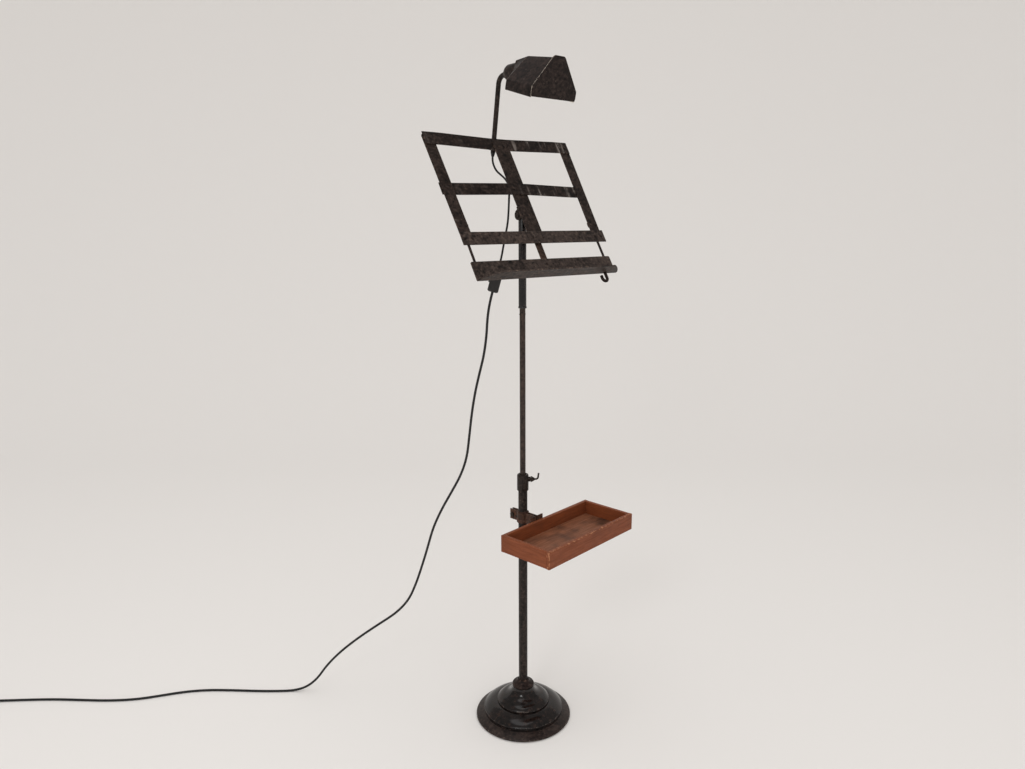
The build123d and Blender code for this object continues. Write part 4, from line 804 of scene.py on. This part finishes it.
switch = dict(top=np.array([-42.0, 40.5, 1225.0]), foot=np.array([-53.0, 52.5, 1166.0]))
switchDown = unit(switch["foot"] - switch["top"])
cordTop, cordJoin = armFoot - armUp * 10, np.array([-26, 20.5, 1364])
lampRoute = [
    cordTop, armFoot - armUp * 22, (10, 116, 1462), (15, 100, 1450), (10, 78, 1440), (2, 57, 1428),
    (-10, 39, 1417), (-19, 26.5, 1405), (-24.75, 20.1, 1389), cordJoin]
headRoute = [
    cordJoin, (-27.2, 20.884, 1340), (-30, 25, 1313), (-34, 31, 1280), switch["top"] - switchDown * 27,
    switch["top"]]
hangingRoute = [
    switch["foot"], switch["foot"] + switchDown * 26, (-62.5, 62, 1102), (-64, 64.5, 1056), (-69, 70, 1005),
    (-77, 79.5, 958), (-85, 88.5, 908), (-91.5, 95.5, 852), (-96.5, 101, 790), (-101, 106.5, 735),
    (-112, 119, 686), (-129, 139, 638), (-148, 160, 588), (-165, 179, 533), (-176.5, 191.5, 474),
    (-188, 205, 418), (-200, 219.5, 364), (-215, 236.5, 314), (-240, 265, 272), (-278, 308, 230),
    (-317, 353, 184), (-354, 395, 135), (-382, 427, 88), (-401, 449, 45), (-424, 474, 15), (-452, 497, 3.2)]
floorRoute = [
    (-488, 522), (-533, 559), (-590, 611), (-648, 661), (-704, 695), (-762, 719),
    (-820, 744), (-880, 785), (-938, 836), (-994, 887), (-1050, 931), (-1106, 972)]

coil = dict(start=np.array([-1178.0, 1023.0, 4.7]), heading=144.0, inner=28.0, pitch=8.15, turnsIn=2.0,
            climb=0.5, turnsOut=1.75, lead=44.0, perTurn=24, gap=6.4, straight=34)


# the coil spirals in on the floor, climbs a layer in half a turn and spirals out again on top: radius and
# height are straight ramps of the turn number, and the climb is eased by taking a sine of the share climbed
# from it
def coilRoute(s):
    heading = levelHeading(math.radians(s["heading"]))
    startAngle = math.radians(s["heading"] - 90)
    outer = s["inner"] + s["turnsIn"] * s["pitch"]
    centre = s["start"] - outer * levelHeading(startAngle)
    turns = s["turnsIn"] + s["climb"] + s["turnsOut"]
    t = np.linspace(0, turns, int(turns * s["perTurn"]) + 1)
    inward = np.maximum(s["turnsIn"] - t, 0) + np.maximum(t - s["turnsIn"] - s["climb"], 0)
    radius = (s["inner"] + s["pitch"] * inward) / math.cos(math.pi / s["perTurn"])
    angle = startAngle + 2 * np.pi * t
    share = np.clip((t - s["turnsIn"]) / s["climb"], 0, 1)
    rise = s["pitch"] * (share - np.sin(2 * np.pi * share) / (2 * np.pi))
    spiral = centre + np.stack([radius * np.cos(angle), radius * np.sin(angle), rise], -1)
    out = levelHeading(angle[-1])
    onward = levelHeading(angle[-1] + np.pi / 2) * (2 * np.pi * (outer - s["pitch"] / 4))
    along = unit(onward + out * s["pitch"])
    end = centre + straightUp * s["pitch"] + (s["inner"] + s["pitch"] * inward[-1]) * out
    entry = s["start"] - heading * s["gap"]
    return np.vstack([entry - heading * s["straight"], entry, spiral[1:-1], end, end + along * s["lead"] / 2,
                      end + along * s["lead"]])


def smoothPath(name, route):  # points along the curve of degree two that a route's points steer, in metres
    controls = np.array([tuple(point) for point in route], float) * mm
    curve = bpy.data.curves.new(name, "CURVE")
    curve.dimensions = "3D"
    spline = curve.splines.new("NURBS")
    spline.points.add(len(controls) - 1)
    spline.points.foreach_set("co", np.column_stack([controls, np.ones(len(controls))]).ravel())
    spline.order_u = 3
    spline.use_endpoint_u = True
    spline.resolution_u = 6
    carrier = bpy.data.objects.new(name, curve)
    line = bpy.data.meshes.new_from_object(carrier)
    points = np.empty(3 * len(line.vertices))
    line.vertices.foreach_get("co", points)
    bpy.data.meshes.remove(line)
    bpy.data.objects.remove(carrier)
    bpy.data.curves.remove(curve)
    return points.reshape(-1, 3)


cords = dict(thin=5.0, thick=6.4, sides=18)


def rubberCord(name, route, diameter):  # a cord and the path that it follows
    path = smoothPath(name + "_route", route)
    return tube(name, path, diameter / 2, [cordRubber], cords["sides"]), path


lampCord, lampPath = rubberCord("lamp_cord", lampRoute, cords["thin"])
headCord, headPath = rubberCord("head_cord", headRoute, cords["thin"])
lyingRoute = [(x, y, cords["thick"] / 2) for x, y in floorRoute]
floorCord, floorPath = rubberCord("floor_cord", [*hangingRoute, *lyingRoute, *coilRoute(coil)], cords["thick"])
lengths = [np.linalg.norm(np.diff(path, axis=0), axis=1).sum() for path in (lampPath, headPath, floorPath)]
print("cords", np.round(lengths, 3))
for piece, nodes in ((lampCord, ["cord_lamp"]), (headCord, ["cord_head"]),
                     (floorCord, ["cord_floor", "cord_coil"])):
    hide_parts(*nodes)
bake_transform(lampCord)
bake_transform(headCord)
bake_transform(floorCord)
print("cords ready")

# the solids that stay as they are

keptNodes = [
    ("black_plastic", phenolicBlack, ["switch_body", "switch_rocker", "plug_body", "lampholder"]),
    ("pale_brass", brassTurned, ["plug_pins", "bulb_cap"]),
    ("worn_steel", fixingSteel, ["stop_pin", "hinge_bolt", "wing_nut", "arm_screw", "clamp_bolt", "clamp_nut",
                                 "tray_screws", "rod_foot"]),
    ("dark_iron", stripLacquer, ["hinge_lug_left", "hinge_lug_right", "rod_guides", "arm_holder"]),
    ("dark_iron", strapBrown, ["clamp_strap_left", "clamp_strap_right"]),
    ("black_rubber", cordRubber, ["arm_grommet"]),
    ("black_rubber", tieCloth, ["cord_tie"]),
]
for slotName, mat, names in keptNodes:
    for name in names:
        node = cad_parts[name]
        node.data.materials.clear()
        node.data.materials.append(mat)

# floor, light and camera

view = dict(place=(-1.2106, -1.4561, 1.3311), yaw=38.963, pitch=11.888, roll=-0.268, focal=763.85, wide=1025,
            sensor=36)
yaw, pitch, roll = (math.radians(view[key]) for key in ("yaw", "pitch", "roll"))
cameraData = bpy.data.cameras.new("photo_view")
cameraData.sensor_width = view["sensor"]
cameraData.lens = view["focal"] / view["wide"] * view["sensor"]
camera = bpy.data.objects.new("photo_view", cameraData)
camera.matrix_world = (Matrix.Translation(view["place"]) @ Matrix.Rotation(-yaw, 4, "Z")
                       @ Matrix.Rotation(math.pi / 2 - pitch, 4, "X") @ Matrix.Rotation(roll, 4, "Z"))
bpy.context.scene.collection.objects.link(camera)
bpy.context.scene.camera = camera

# the floor runs back from the camera and sweeps up into a wall on a quarter circle
sweep = dict(near=-10.0, flat=2.2, radius=3.4, high=6.0, half=12.0)
bend = np.linspace(0, np.pi / 2, 24)[1:]
runBack = np.concatenate([np.linspace(sweep["near"], sweep["flat"], 12),
                          sweep["flat"] + sweep["radius"] * np.sin(bend), [sweep["flat"] + sweep["radius"]]])
runUp = np.concatenate([np.zeros(12), sweep["radius"] * (1 - np.cos(bend)), [sweep["high"]]])
side = np.linspace(-sweep["half"], sweep["half"], 10)
points = (runBack[:, None, None] * levelHeading(math.pi / 2 - yaw) + side[None, :, None] * levelHeading(-yaw)
          + runUp[:, None, None] * straightUp)
paper, _ = newMaterial("pale_paper_sweep")
finishMaterial(paper, {"Base Color": "#E7E5E3", "Roughness": 0.9})
backdrop = makePiece("paper_sweep", points, gridFaces(len(runBack), len(side), False), [paper])

# reflections see a dimmer room than the one that lights the paper, as behind a photographer
room = dict(colour="#F3F0ED", seen=0.98, mirrored=0.36)
world = bpy.data.worlds.new("soft_room")
world.use_nodes = True
sky = world.node_tree.nodes["Background"]
sky.inputs["Color"].default_value = linear(room["colour"])
rays = (addNode(world.node_tree, "LightPath"), "Is Glossy Ray")
dimmed = addNode(world.node_tree, "MapRange", [rays, 0.0, 1.0, room["seen"], room["mirrored"]])
world.node_tree.links.new(dimmed.outputs[0], sky.inputs["Strength"])
bpy.context.scene.world = world


def softLight(name, place, aim, size, power):
    data = bpy.data.lights.new(name, "AREA")
    data.shape = "DISK"
    data.size = size
    data.energy = power
    lamp = bpy.data.objects.new(name, data)
    toward = Vector(aim) - Vector(place)
    lamp.matrix_world = Matrix.Translation(place) @ toward.to_track_quat("-Z", "Y").to_matrix().to_4x4()
    bpy.context.scene.collection.objects.link(lamp)
    return lamp


overhead = softLight("overhead_softbox", place=(-0.6, -0.4, 3.6), aim=(0, 0, 0.8), size=2.4, power=15)
sideFill = softLight("left_softbox", place=(-3.2, -2.0, 2.8), aim=(0, 0, 1.0), size=1.0, power=24)
bpy.context.scene.view_settings.view_transform = "Standard"
